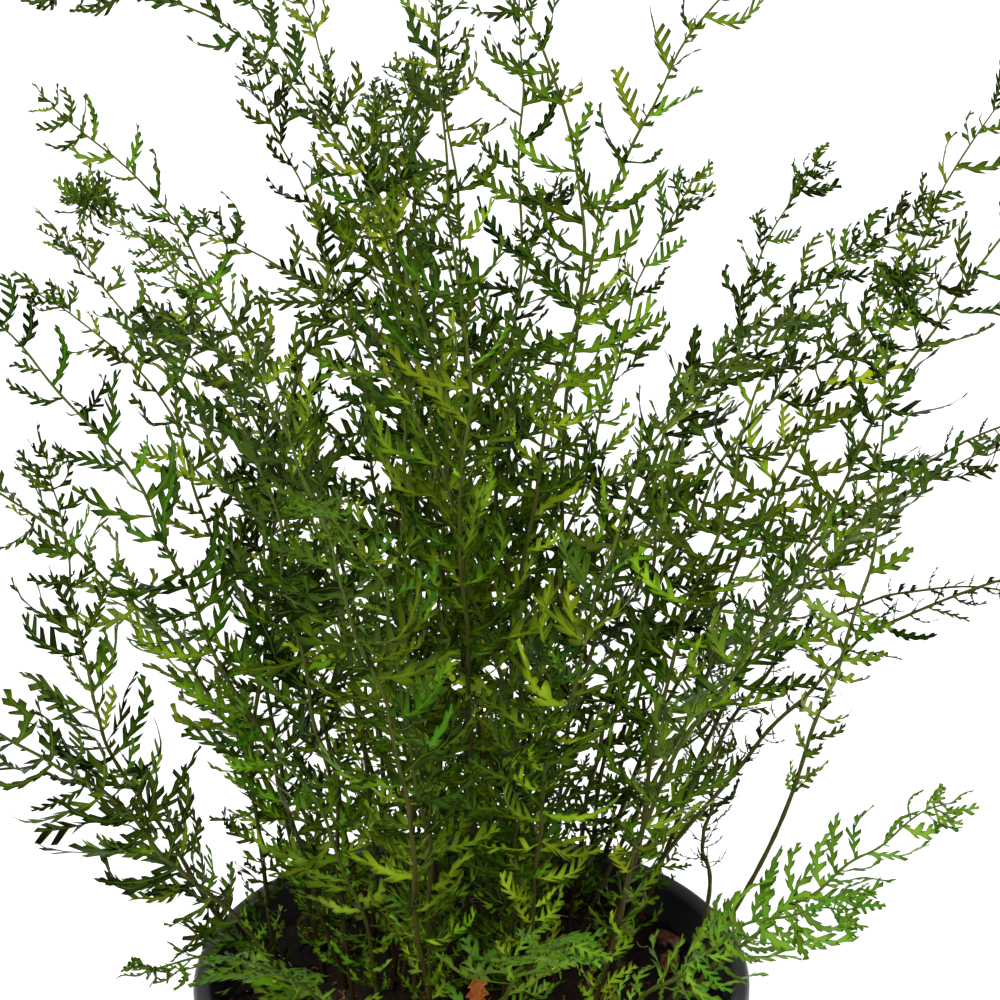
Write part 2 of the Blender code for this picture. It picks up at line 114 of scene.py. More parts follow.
def surface(
    name, points, quads, triangles=None, materials=(), slots=None, attributes=None, smooth=True, flat_map=None
):
    """A mesh object at the origin from arrays.

    They are its quads and triangles, a material number for each face, float attributes on its points, and
    for each face corner a place in the unit square.
    """
    quads = np.asarray(quads, np.int32).reshape(-1, 4)
    triangles = np.asarray([] if triangles is None else triangles, np.int32).reshape(-1, 3)
    corners = np.concatenate([quads.ravel(), triangles.ravel()]).astype(np.int32)
    sizes = np.concatenate([np.full(len(quads), 4), np.full(len(triangles), 3)])
    mesh = bpy.data.meshes.new(name)
    mesh.vertices.add(len(points))
    mesh.vertices.foreach_set("co", np.asarray(points, np.float32).ravel())
    mesh.loops.add(len(corners))
    mesh.loops.foreach_set("vertex_index", corners)
    mesh.polygons.add(len(sizes))
    mesh.polygons.foreach_set("loop_start", np.concatenate([[0], np.cumsum(sizes)[:-1]]).astype(np.int32))
    if slots is not None:
        mesh.polygons.foreach_set("material_index", np.asarray(slots, np.int32))
    mesh.polygons.foreach_set("use_smooth", np.full(len(sizes), smooth))
    for key, values in (attributes or {}).items():
        layer = mesh.attributes.new(key, "FLOAT", "POINT")
        layer.data.foreach_set("value", np.asarray(values, np.float32))
    mesh.update(calc_edges=True)
    if flat_map is not None:
        mesh.uv_layers.new(name="OFBake").data.foreach_set("uv", np.asarray(flat_map, np.float32).ravel())
    for one in materials:
        mesh.materials.append(one)
    made = bpy.data.objects.new(name, mesh)
    bpy.context.scene.collection.objects.link(made)
    return made


def stand_for(piece, slot, *nodes):
    """The piece rides on the part's one body and stands for these nodes, which are hidden. The slot is not
    used.
    """
    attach(piece, BODY)
    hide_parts(*nodes)


def mesh_points(mesh):
    points = np.empty(len(mesh.vertices) * 3, np.float32)
    mesh.vertices.foreach_get("co", points)
    return points.reshape(-1, 3)


def node_points(name):
    return mesh_points(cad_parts[name].data).astype(float)


def unit(vectors):
    return vectors / np.maximum(np.linalg.norm(vectors, axis=-1, keepdims=True), 1e-12)


def square_to(vectors, axes):
    """Unit vectors: each vector less its share along the axis."""
    return unit(vectors - (vectors * axes).sum(-1, keepdims=True) * axes)


def grid_quads(rows, columns, wrap=False):
    """Quads of a grid of points numbered row by row. With wrap, the last column meets the first."""
    row, column = np.meshgrid(np.arange(rows - 1), np.arange(columns if wrap else columns - 1), indexing="ij")
    right = (column + 1) % columns
    start = row * columns
    beyond = start + columns
    return np.stack([start + column, start + right, beyond + right, beyond + column], -1).reshape(-1, 4)


def fan(ring, pole, backwards=False):
    """Triangles from each point of a ring and the next one to a pole."""
    pair = [np.roll(ring, -1), ring] if backwards else [ring, np.roll(ring, -1)]
    return np.stack([*pair, np.full(len(ring), pole)], 1)


def turned(r, z, angles):
    """Rings about Z, as an array (ring, angle, 3)."""
    x, y, z = np.outer(r, np.cos(angles)), np.outer(r, np.sin(angles)), np.outer(z, np.ones(len(angles)))
    return np.stack([x, y, z], -1)


def revolve(radii, heights, steps):
    """A profile from the top of the axis, round the outside, to its foot, turned about Z: each point is at
    (r cos a, r sin a, z). Both ends are on the axis and close in fans."""
    angles = np.linspace(0, 2 * math.pi, steps, endpoint=False)
    r, z = np.asarray(radii)[1:-1], np.asarray(heights)[1:-1]
    points = turned(r, z, angles)
    points = np.concatenate([points.reshape(-1, 3), [[0, 0, heights[0]], [0, 0, heights[-1]]]])
    quads = grid_quads(len(r), steps, wrap=True)[:, ::-1]
    ring = np.arange(steps)
    foot = (len(r) - 1) * steps + ring
    top, bottom = fan(ring, len(points) - 2), fan(foot, len(points) - 1, backwards=True)
    return points, quads, np.concatenate([top, bottom])


def tube_ends(rings, sides):
    """Fans that close a tube of rings at its two poles, which are numbered after its rings."""
    count = rings * sides
    ring = np.arange(sides)
    return np.concatenate([fan(ring, count, backwards=True), fan(count - sides + ring, count + 1)])


def lumps(points, size, rng, waves=24):
    """Smooth noise between about -1 and 1: a sum of plane waves in random directions, with lengths near
    the size."""
    ways = unit(rng.normal(size=(waves, points.shape[-1])))
    ways = ways * (2 * math.pi / size * rng.uniform(0.6, 1.6, (waves, 1)))
    return np.cos(points @ ways.T + rng.uniform(0, 2 * math.pi, waves)).sum(-1) * math.sqrt(2 / waves) * 0.6


def lumpy(points, layers, rng):
    """Lumps of several sizes seen from above, each with its share."""
    return sum(share * lumps(points[:, :2], size, rng) for share, size in layers)


def smooth_line(run, knots, at):
    """A cubic through knots at distances run, with each knot's slope taken from its neighbours."""
    slopes = np.gradient(knots, run, axis=0)
    i = np.clip(np.searchsorted(run, at, side="right") - 1, 0, len(run) - 2)
    step = (run[i + 1] - run[i])[:, None]
    t = ((at - run[i]) / (run[i + 1] - run[i]))[:, None]
    start = (1 + 2 * t) * (1 - t) ** 2 * knots[i] + t * (1 - t) ** 2 * step * slopes[i]
    return start + t * t * (3 - 2 * t) * knots[i + 1] + t * t * (t - 1) * step * slopes[i + 1]


# ---- sizes and colours -----------------------------------------------------------------------------


def size_property(name, description, default, low=0.0, high=1.0):
    return bpy.props.FloatProperty(
        name=name,
        description=description,
        default=default,
        min=low,
        max=high,
        subtype="DISTANCE",
        unit="LENGTH",
        precision=5,
    )


def share_property(name, description, default, **limits):
    """A plain number with no unit, never below nothing."""
    return bpy.props.FloatProperty(name=name, description=description, default=default, min=0.0, **limits)


def count_property(name, description, default, **limits):
    return bpy.props.IntProperty(name=name, description=description, default=default, min=0, **limits)


def colour_property(name, description, hex_colour):
    default = linear(hex_colour)
    return bpy.props.FloatVectorProperty(
        name=name, description=description, default=default, size=3, min=0.0, max=1.0, subtype="COLOR"
    )


class FernFoliage(bpy.types.PropertyGroup):
    """Leaflets, stems and their greens."""

    stem_share: share_property("Stem share", "Stem thickness as a share of the part's stem", 0.74, max=1.0)
    leaf_thickness: size_property("Leaf thickness", "Thickness of a leaflet at its midrib", 0.00034)
    waver: size_property("Stem waver", "How far a stem strays from its smooth line", 0.0018)
    mature: colour_property("Mature green", "Commonest colour of a grown leaflet", "455B0A")
    # Painted shade: the near-black dark end of the leaflets' tone ramp, standing in for shade deep in the
    # clump.
    shaded: colour_property("Shaded green", "Colour of the oldest and deepest leaflets", "0F1903")
    # Partly a painted highlight: the light end of the leaflets' tone ramp, as well as the green of fresh
    # growth.
    fresh_and_highlight: colour_property("Fresh green", "Colour of a grown leaflet in its first season", "98B420")
    young: colour_property("Young green", "Colour of new growth", "507010")
    underside: colour_property("Underside", "Colour of a leaflet's underside", "3F541C")
    stem_foot: colour_property("Stem foot", "Colour of a stem at its foot", "3A2610")
    stem_tip: colour_property("Stem tip", "Colour of a stem high up", "52621F")
    seed: count_property("Seed", "Which plant is grown", 7)


class FernPot(bpy.types.PropertyGroup):
    """The nursery pot."""

    wall: size_property("Wall", "Thickness of the moulded wall", 0.0018)
    lip: size_property("Lip width", "Width of the rolled lip", 0.0062)
    skirt: size_property("Skirt drop", "How far the lip's skirt hangs down", 0.015)
    channel: size_property("Channel rise", "How far the drained channel is raised above the feet", 0.003)
    pad: size_property("Pad radius", "Radius of the flat pad under the middle", 0.026)
    foot: size_property("Foot ring", "Width of the ring that the pot stands on", 0.008)
    hole: size_property("Hole diameter", "Diameter of a drain hole", 0.011)
    holes: count_property("Holes", "Number of drain holes", 6, max=12)
    plastic: colour_property("Plastic", "Colour of the moulded plastic", "2B2D2F")
    dust: colour_property("Dust", "Colour of dried compost dust on the plastic", "6A5B49")


class FernCompost(bpy.types.PropertyGroup):
    """Compost, the crown in it and what lies on it."""

    lump: size_property("Lump height", "Height of the compost's lumps", 0.0016)
    crumbs: count_property("Crumbs", "Number of loose crumbs", 520)
    fibres: count_property("Fibres", "Number of dry fibres", 90)
    scales: count_property("Scales", "Number of chaffy scales on the crown", 260)
    stubs: count_property("Stubs", "Number of old stem stubs on the crown", 34)
    peat: colour_property("Peat", "Colour of the damp peat", "120D09")
    bark: colour_property("Bark", "Colour of bark in the compost", "472817")
    fibre: colour_property("Fibre", "Colour of dry fibre", "A98F6B")
    root: colour_property("Rhizome", "Colour of the crown's scaly rhizomes", "1E150D")
    dead: colour_property("Dead leaf", "Colour of the shed brown leaf", "B8662A")
    yellow: colour_property("Yellow leaf", "Colour of the shed yellow leaf", "CDB24A")
    seed: count_property("Seed", "Which arrangement is laid", 5)


class FernStage(bpy.types.PropertyGroup):
    """Floor, light and camera."""

    floor: colour_property("Floor", "Colour of the plain floor", "C8C8C6")
    glow: share_property("Floor glow", "How much light the lit floor gives off", 0.62)
    key: share_property("Key light", "Strength of the wide light from above the front left", 3.45)
    fill: share_property("Fill light", "Power of the soft light at the right", 2.5, unit="POWER")
    sky: share_property("Sky", "Strength of the white surroundings", 0.26)
    lens: share_property("Lens", "Focal length on a 36 mm frame, in millimetres", 72.0)
    pitch: bpy.props.FloatProperty(
        name="Pitch",
        description="How far the camera looks down",
        default=math.radians(18.3),
        subtype="ANGLE",
        unit="ROTATION",
    )
    distance: size_property("Distance", "Camera's place in front of the pot's axis", 0.6035, 0.0, 10.0)
    height: size_property("Height above rim", "Camera's height above the pot's rim", 0.3663, -10.0, 10.0)
    aside: size_property("Aside", "Camera's place to the right of the pot's axis", 0.0097, -10.0, 10.0)


# ---- leaf forms ------------------------------------------------------------------------------------
#
# A leaflet is a thin closed ribbon of rings with four points each: front edge, top of the midrib, back
# edge and underside. A form holds the rings as (share of the length, metres across, metres up) before it
# is carried along the leaflet's own curve.


class Outline(NamedTuple):
    """One family of leaflet outlines. Its lengths are in millimetres."""

    count: int  # different outlines drawn
    pairs: int  # lobes along each edge
    front: float  # reach of a lobe on the edge towards the frond's tip
    back: float
    waist: float  # from the midrib to the edge between two lobes
    sweep: float  # how far a lobe leans to the leaflet's tip, in lobe widths
    blunt: float  # 0 for fingers that narrow to their tips, above 1.1 for spoons
    fold: float  # rise of the edges for their distance out


OUTLINES = {
    "comb": Outline(16, 6, 4.1, 1.6, 0.64, 1.05, 1.15, 0.18),
    "paired": Outline(14, 6, 2.7, 2.3, 0.66, 0.95, 1.15, 0.22),
    "short": Outline(14, 4, 3.1, 2.0, 0.66, 0.80, 1.1, 0.20),
    "strap": Outline(10, 6, 1.1, 0.9, 0.95, 0.45, 0.9, 0.28),
    "notched": Outline(10, 4, 2.5, 2.2, 0.95, 0.60, 1.0, 0.14),
    "wire": Outline(8, 5, 1.3, 0.8, 0.36, 0.90, 0.3, 0.10),
    "wing": Outline(8, 1, 0.8, 0.6, 0.50, 0.4, 0.9, 0.20),
}

# Which outlines the fronds of each sort draw from, with their chances.
MIXES = {
    "comb": (("comb", 0.46), ("paired", 0.22), ("short", 0.10), ("strap", 0.12), ("notched", 0.10)),
    "strap": (("strap", 0.25), ("paired", 0.30), ("notched", 0.25), ("short", 0.20)),
    "wire": (("wire", 0.85), ("strap", 0.15)),
    "notched": (("notched", 0.45), ("short", 0.35), ("comb", 0.20)),
}


def leaf_forms(rng, outline, thickness):
    """Random leaflet outlines of one family, as an array (form, ring, point, 3).

    Each pair of lobes takes four rings, and the lobes of the two edges alternate. A lobe is a finger
    between its rear and its front corner, which stand off the midrib by about waist + reach, and between
    lobes the edge stands off by the waist alone. Both corners are carried forward by the sweep, in lobe
    widths, and the front one by a share of it that grows with blunt. Lobes are short at the root, longest
    a third of the way out and short again at the tip. The edges rise by the fold times their distance
    out.
    """
    count, pairs, sweep, blunt = outline.count, outline.pairs, outline.sweep, outline.blunt
    front, back, waist = outline.front * MM, outline.back * MM, outline.waist * MM
    number = np.arange(4 * pairs + 1)
    within = np.array([0.0, 0.05, 0.47, 0.52])
    u = np.tile((number // 4 + within[number % 4]) / pairs, (count, 1))
    u[:, 1:-1] += rng.normal(0, 0.03 / pairs, (count, 4 * pairs - 1))
    swell = np.minimum(0.45 + 2.4 * u, 1.0) * (1 - 0.62 * np.clip((u - 0.35) / 0.65, 0, 1) ** 1.2)

    def edge(shift, reach):
        part, lobe = (number + shift) % 4, (number + shift) // 4 + 1
        scale = rng.uniform(0.50, 1.25, (count, pairs + 3))[:, lobe]
        size = reach * swell * scale
        out = waist * (0.5 + 0.5 * swell) + size * np.array([1.0, 0.78 + 0.2 * blunt, 0.0, 0.0])[part]
        ahead = sweep / pairs * np.array([1.0, 0.55 + 0.4 * blunt, 0.0, 0.0])[part]
        ahead = ahead * np.minimum(swell * scale, 1.1)
        curl = rng.normal(0.05, 0.38, (count, pairs + 3))[:, lobe]
        curl = size * np.array([1.0, 0.8, 0.0, 0.0])[part] * curl
        out[:, -1], ahead[:, -1], curl[:, -1] = 0.30 * waist, 0.0, 0.0
        out[:, 0], ahead[:, 0], curl[:, 0] = 0.30 * MM, 0.0, 0.0
        return u + ahead, out, outline.fold * out + curl

    front_u, front_out, front_up = edge(-1, front)
    back_u, back_out, back_up = edge(1, back)
    half = np.broadcast_to(thickness / 2 * (1 - 0.6 * u), u.shape)
    none = np.zeros_like(u)
    return np.stack(
        [
            np.stack([front_u, front_out, front_up], -1),
            np.stack([u, none, half], -1),
            np.stack([back_u, -back_out, back_up], -1),
            np.stack([u, none, -half], -1),
        ],
        axis=2,
    )


def carry(forms, root, tip, fore, up, width, bow, arch, roll, turn, ripple, phase):
    """Each form carried along its own curve from root to tip: points (leaflet, ring, 4, 3), and which are
    left-handed.

    With u the share of the length, d the straight way from root to tip, b square to it towards the
    frond's tip and n square to both, the midrib is root + L (u d + bow (u² - u) b + (arch (u² - u) +
    ripple sin(2 pi u + phase) u) n), and b and n turn about d by roll + turn u, so the blade twists.
    """
    length = np.linalg.norm(tip - root, axis=1)
    d = unit(tip - root)
    b = square_to(fore, d)
    n = np.cross(d, b)
    hand = np.where((n * up).sum(1) < 0, -1.0, 1.0)
    n = n * hand[:, None]
    u = forms[..., 0]

    def each(values):
        return np.asarray(values)[:, None, None]

    q = u * u - u
    sway = each(arch) * q + each(ripple) * np.sin(2 * math.pi * 1.3 * u + each(phase)) * np.clip(u * 3, 0, 1)
    span = each(length)[..., None]
    d, b, n = d[:, None, None], b[:, None, None], n[:, None, None]
    midrib = u[..., None] * d + (each(bow) * q)[..., None] * b + sway[..., None] * n
    centre = root[:, None, None] + span * midrib
    angle = each(roll) + each(turn) * np.clip(u, 0, 1)
    cos, sin = np.cos(angle)[..., None], np.sin(angle)[..., None]
    across = (forms[..., 1] * each(width))[..., None]
    points = centre + across * (cos * b + sin * n) + forms[..., 2, None] * (cos * n - sin * b)
    return points, hand < 0


def ribbon_quads(leaflets, rings, flipped):
    """Quads of ribbons with four points a ring, and one quad to close each end. Left-handed ones are
    wound backwards."""
    around = grid_quads(rings, 4, wrap=True)
    last = 4 * (rings - 1)
    ends = np.array([[3, 2, 1, 0], [last, last + 1, last + 2, last + 3]])
    one = np.concatenate([around, ends])
    quads = one[None] + (np.arange(leaflets) * rings * 4)[:, None, None]
    quads[flipped] = quads[flipped][:, :, ::-1]
    return quads.reshape(-1, 4)


def unrolled(rings, sides):
    """Each quad of a tube unrolled into the unit square, but for a margin: rings run along x and sides
    along y."""
    x, y = np.meshgrid(np.arange(rings - 1.0), np.arange(float(sides)), indexing="ij")
    corners = np.stack([np.stack([x + i, y + j], -1) for i, j in ((0, 0), (0, 1), (1, 1), (1, 0))], 2)
    return 0.03 + corners.reshape(-1, 4, 2) * [0.86 / (rings - 1), 0.94 / sides]


def ribbon_map(leaflets, rings, flipped, first, columns, rows):
    """Corner places for ribbon_quads: each ribbon has a cell of a grid, counted from the first, its ends
    beside it."""
    end = np.array([[0.91, 0.05], [0.91, 0.40], [0.98, 0.40], [0.98, 0.05]])
    one = np.concatenate([unrolled(rings, 4), [end, end + [0.0, 0.5]]])
    number = first + np.arange(leaflets)
    cell = np.stack([number % columns, number // columns], 1)
    placed = (one[None] + cell[:, None, None]) / [columns, rows]
    placed[flipped] = placed[flipped][:, :, ::-1]
    return placed.reshape(-1, 2)


# ---- fronds ----------------------------------------------------------------------------------------


def skeleton(node):
    """(ring centres from foot to tip, ring radii, leaflet seats, leaflet tips) of a frond in the part.

    Its stem is a chain of rings of four points, each of which has the other three nearest to it. A
    leaflet is a single point, joined to two rings that follow each other, the lower of which is its seat.
    """
    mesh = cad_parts[node].data
    corners = np.empty(len(mesh.loops), np.int32)
    mesh.loops.foreach_get("vertex_index", corners)
    points, index = np.unique(np.round(node_points(node), 5), axis=0, return_inverse=True)
    faces = index.reshape(-1)[corners].reshape(-1, 3)
    nearest = np.sort(np.linalg.norm(points[:, None] - points[None], axis=2).argsort(axis=1)[:, :4], axis=1)
    fours, group, shared = np.unique(nearest, axis=0, return_inverse=True, return_counts=True)
    group = group.reshape(-1)
    group = np.where(shared[group] == 4, group, len(fours) + np.arange(len(points)))
    _, group = np.unique(group, return_inverse=True)
    count = np.bincount(group)
    centres = np.stack([np.bincount(group, points[:, k]) for k in range(3)], 1) / count[:, None]
    radii = np.bincount(group, np.linalg.norm(points - centres[group], axis=1)) / count
    touch = np.zeros((len(count), len(count)), bool)
    ends = group[np.concatenate([faces[:, [0, 1]], faces[:, [1, 2]], faces[:, [2, 0]]])]
    touch[ends[:, 0], ends[:, 1]] = touch[ends[:, 1], ends[:, 0]] = True
    np.fill_diagonal(touch, False)
    rings = count == 4
    chain_ends = np.flatnonzero(rings & ((touch & rings).sum(1) == 1))
    chain = [int(chain_ends[centres[chain_ends, 2].argmin()])]
    while len(chain) < rings.sum():
        onward = [int(i) for i in np.flatnonzero(touch[chain[-1]] & rings) if i not in chain]
        if len(onward) != 1:
            raise RuntimeError(f"{node}: the stem's rings don't follow each other")
        chain += onward
    order = np.full(len(count), len(count))
    order[chain] = np.arange(len(chain))
    tips = np.flatnonzero(count == 1)
    seats = np.array([order[touch[tip]].min() for tip in tips], int)
    return centres[chain], radii[chain], seats, centres[tips]


class Habit(NamedTuple):
    """How one sort of frond grows. Lengths are in metres, angles in radians."""

    slot: str
    mix: str
    per_gap: int  # leaflets along each gap between two of the part's leaflets on one side
    width: float
    bow: float
    arch: float
    twist: float
    ripple: float
    wings: float  # spacing of the small lobes along the upper stem
    below: int  # smaller leaflets below the part's lowest one, on each side
    tone: float
    crest: int  # leaflets crowded at the tip


BARE_FOOT = 0.008  # height of stem with no leaflets
FOOT_SINK = 0.003  # how far a stem's foot goes into the crown
LEAST_STEM = 0.00026  # radius of the thinnest stem
USUAL_LEAFLET = 0.024  # a leaflet of this length has its outline at full width
SHORT_LEAFLET = 0.015  # below this length, a lobed leaflet takes a short outline

HABITS = {
    "frond": Habit("frond_green", "comb", 2, 1.0, 0.50, 0.42, 1.5, 0.060, 0.0042, 20, 0.42, 0),
    "young_frond": Habit("young_green", "strap", 2, 1.0, 0.50, 0.30, 0.8, 0.045, 0.0050, 6, 0.50, 0),
    "wiry_frond": Habit("wiry_green", "wire", 2, 0.9, 0.35, 0.55, 1.2, 0.050, 0.0060, 2, 0.30, 0),
    "crested_frond": Habit("crested_green", "notched", 2, 1.0, 0.45, 0.40, 1.1, 0.050, 0.0045, 3, 0.45, 34),
}


def strayed(run, rng, waver):
    """A wandering offset along a stem, nothing at its foot: slow and quick waves in two level directions."""
    total = run[-1]
    made = np.zeros((len(run), 3))
    for waves, share in ((2.3, 1.0), (5.1, 0.5), (11.0, 0.22)):
        phase = rng.uniform(0, 2 * math.pi, 2)
        angle = 2 * math.pi * waves * run / total * rng.uniform(0.8, 1.2)
        made[:, 0] += share * waver * (np.sin(angle + phase[0]) - math.sin(phase[0]))
        made[:, 1] += share * waver * (np.sin(angle + phase[1]) - math.sin(phase[1]))
    return made * np.clip(run / (0.35 * total), 0, 1)[:, None]


class Stem:
    """A frond's stem line, which wanders a little from the part's own.

    Places on it are lengths from its foot.
    """

    def __init__(self, centres, radii, waver, rng):
        self.run = np.concatenate([[0], np.cumsum(np.linalg.norm(np.diff(centres, axis=0), axis=1))])
        self.length = self.run[-1]
        self.centres = centres + strayed(self.run, rng, waver)
        self.slopes = np.gradient(self.centres, self.run, axis=0)
        self.radii = radii

    def place(self, at):
        return smooth_line(self.run, self.centres, at)

    def way(self, at):
        return unit(np.stack([np.interp(at, self.run, self.slopes[:, k]) for k in range(3)], 1))

    def radius(self, at):
        return np.interp(at, self.run, self.radii)


class Leaflets:
    """One frond's leaflets, gathered along its stem before their ribbons are carried."""

    def __init__(self, stem, spread):
        self.stem, self.spread = stem, spread
        self.rows = []

    def put(self, roots, vectors, fores, ups, rises, wing=False):
        fores, ups = np.broadcast_to(fores, roots.shape), np.broadcast_to(ups, roots.shape)
        rises, wings = np.broadcast_to(rises, len(roots)), np.full(len(roots), wing)
        self.rows.append((roots, roots + vectors, fores, ups, rises, wings))

    def aside(self, at):
        """The way that the frond spreads, square to its stem."""
        ways = self.stem.way(at)
        return square_to(np.broadcast_to(self.spread, ways.shape), ways)

    def grow(self, at, vectors, wing=False):
        """Puts leaflets on the stem, with their upper sides square to it and its spread, turned up."""
        ways = self.stem.way(at)
        faces = np.cross(self.aside(at), ways)
        faces = faces * np.where(faces[:, 2:] - 0.35 * faces[:, 1:2] < 0, -1.0, 1.0)
        self.put(self.stem.place(at), vectors, ways, faces, at / self.stem.length, wing)

    def joined(self):
        return [np.concatenate(part) for part in zip(*self.rows)]


def grow_between(leaflets, knots, kept, sign, habit, rng):
    """The part's own leaflets on one side, as they are, with looser ones in the gaps between them."""
    gaps = len(knots) - 1
    per_gap = habit.per_gap + (np.arange(gaps) < 0.5 * gaps)
    slots = np.concatenate([gap + np.arange(n) / n for gap, n in enumerate(per_gap)] + [[gaps]])
    index = np.arange(len(knots), dtype=float)
    grown = np.stack([np.interp(slots, index, kept[:, k]) for k in range(3)], 1)
    size = np.linalg.norm(grown, axis=1, keepdims=True)
    full = np.interp(slots, index, np.linalg.norm(kept, axis=1))[:, None]
    loose = unit(grown + rng.normal(0, 0.34, grown.shape) * size)
    loose = loose * full * rng.uniform(0.60, 1.12, (len(slots), 1))
    grown = np.where((slots % 1 == 0)[:, None], grown, loose)
    shift = 2.5 * MM * sign
    spots = np.interp(slots, index, knots) + rng.uniform(-3 * MM, 3 * MM, len(slots)) + shift
    leaflets.grow(np.clip(spots, 0, leaflets.stem.length), grown)


def grow_below(leaflets, knots, kept, habit, rng):
    """Leaflets from the part's lowest one down, smaller and steeper towards the foot."""
    step = 0.21 * (knots[1] - knots[0])
    lower = knots[0] - step * (np.arange(habit.below) + rng.uniform(0.8, 1.2, habit.below) - 0.1)
    lower = lower[lower > BARE_FOOT]
    shrink = 0.965 ** np.arange(1, len(lower) + 1) * rng.uniform(0.6, 1.05, len(lower))
    steep = unit(kept[0]) + np.linspace(0.2, 0.9, len(lower))[:, None] * leaflets.stem.way(lower)
    low = unit(unit(steep) + rng.normal(0, 0.36, steep.shape))
    if len(lower):
        leaflets.grow(lower, low * np.linalg.norm(kept[0]) * shrink[:, None])


def grow_beyond(leaflets, knots, kept, sign, rng):
    """Three leaflets from the part's last one up to the tip, each shorter than the one before."""
    beyond = np.linspace(knots[-1], leaflets.stem.length, 4)[1:]
    angles = np.radians(rng.uniform(28, 62, len(beyond)))[:, None]
    cast = np.cos(angles) * leaflets.stem.way(beyond) + np.sin(angles) * sign * leaflets.aside(beyond)
    leaflets.grow(beyond, cast * np.linalg.norm(kept[-1]) * np.linspace(0.85, 0.55, len(beyond))[:, None])


def grow_tip(leaflets, rng):
    """The leaflet that ends the stem."""
    last = np.array([leaflets.stem.length])
    vector = leaflets.stem.way(last) * rng.uniform(10 * MM, 14 * MM) + rng.normal(0, 1.2 * MM, (1, 3))
    leaflets.grow(last - 0.5 * MM, vector)


def grow_wings(leaflets, habit, rng):
    """Small lobes that wing the upper stem, on its two sides by turns."""
    count = int(0.62 * leaflets.stem.length / habit.wings)
    spots = np.sort(rng.uniform(0.34, 0.99, count)) * leaflets.stem.length
    signs = np.where(np.arange(count) % 2, -1.0, 1.0)[:, None]
    angle = np.radians(rng.uniform(25, 50, count))[:, None]
    size = rng.uniform(2.2 * MM, 4.6 * MM, count)[:, None]
    cast = np.cos(angle) * leaflets.stem.way(spots) + np.sin(angle) * signs * leaflets.aside(spots)
    leaflets.grow(spots, size * cast, wing=True)


def grow_crest(leaflets, habit, rng):
    """A tuft of leaflets that points every way round the tip, and a little onward."""
    last = np.full(habit.crest, leaflets.stem.length)
    around = unit(rng.normal(size=(habit.crest, 3)) + 0.5 * leaflets.stem.way(last))
    reach = around * rng.uniform(6 * MM, 12 * MM, (habit.crest, 1))
    roots = leaflets.stem.place(last) + around * 1.2 * MM
    leaflets.put(roots, reach, unit(rng.normal(size=(habit.crest, 3))), around, 1.0)


def gather(node, habit, foliage, rng):
    """The frond's stem and all its leaflets."""
    centres, radii, seats, tips = skeleton(node)
    stem = Stem(centres, radii, foliage.waver, rng)
    at = (stem.run[seats] + stem.run[seats + 1]) / 2
    vectors = tips - stem.place(at)
    out = square_to(vectors, stem.way(at))
    main = np.linalg.svd(out)[2][0]
    side = np.where(out @ main < 0, -1.0, 1.0)
    leaflets = Leaflets(stem, unit((out * side[:, None]).mean(0)))
    for sign in (1.0, -1.0):
        mine = np.flatnonzero(side == sign)
        mine = mine[at[mine].argsort()]
        if len(mine) < 2:
            continue
        knots, kept = at[mine], vectors[mine]
        grow_between(leaflets, knots, kept, sign, habit, rng)
        grow_below(leaflets, knots, kept, habit, rng)
        grow_beyond(leaflets, knots, kept, sign, rng)
    grow_tip(leaflets, rng)
    grow_wings(leaflets, habit, rng)
    if habit.crest:
        grow_crest(leaflets, habit, rng)
    return leaflets


STEM_RINGS, STEM_SIDES = 64, 7


def stem_tube(leaflets, share, rng):
    """A tapering tube of rings square to the stem's line, its radius wavering a little, closed by a fan
    at each end."""
    stem = leaflets.stem
    rings, sides = STEM_RINGS, STEM_SIDES
    at = np.linspace(0, stem.length, rings)
    centre, ways = stem.place(at), stem.way(at)
    centre[0] -= ways[0] * FOOT_SINK
    radius = share * stem.radius(at)
    radius = np.maximum(radius * (1 + 0.10 * np.sin(at * 900 + rng.uniform(0, 6))), LEAST_STEM)
    right = leaflets.aside(at)
    front = np.cross(ways, right)
    angles = np.linspace(0, 2 * math.pi, sides, endpoint=False)
    rounds = np.cos(angles)[None, :, None] * right[:, None] + np.sin(angles)[None, :, None] * front[:, None]
    points = (centre[:, None] + radius[:, None, None] * rounds).reshape(-1, 3)
    points = np.concatenate([points, [centre[0] - ways[0] * 0.2 * MM, centre[-1] + ways[-1] * 0.3 * MM]])
    rise = np.concatenate([np.repeat(at / stem.length, sides), [0, 1]])
    return points, grid_quads(rings, sides, wrap=True), tube_ends(rings, sides), rise


def crease_edges(mesh, ribbon_points):
    """Marks the front and back edges of the ribbons sharp, so that a blade shades as two faces and not as
    a pillow."""
    ends = np.empty(len(mesh.edges) * 2, np.int32)
    mesh.edges.foreach_get("vertices", ends)
    ends = ends.reshape(-1, 2)
    part = ends % 4
    sharp = (part[:, 0] == part[:, 1]) & (part[:, 0] % 2 == 0) & (ends.max(1) < ribbon_points)
    layer = mesh.attributes.new("sharp_edge", "BOOLEAN", "EDGE")
    layer.data.foreach_set("value", sharp)


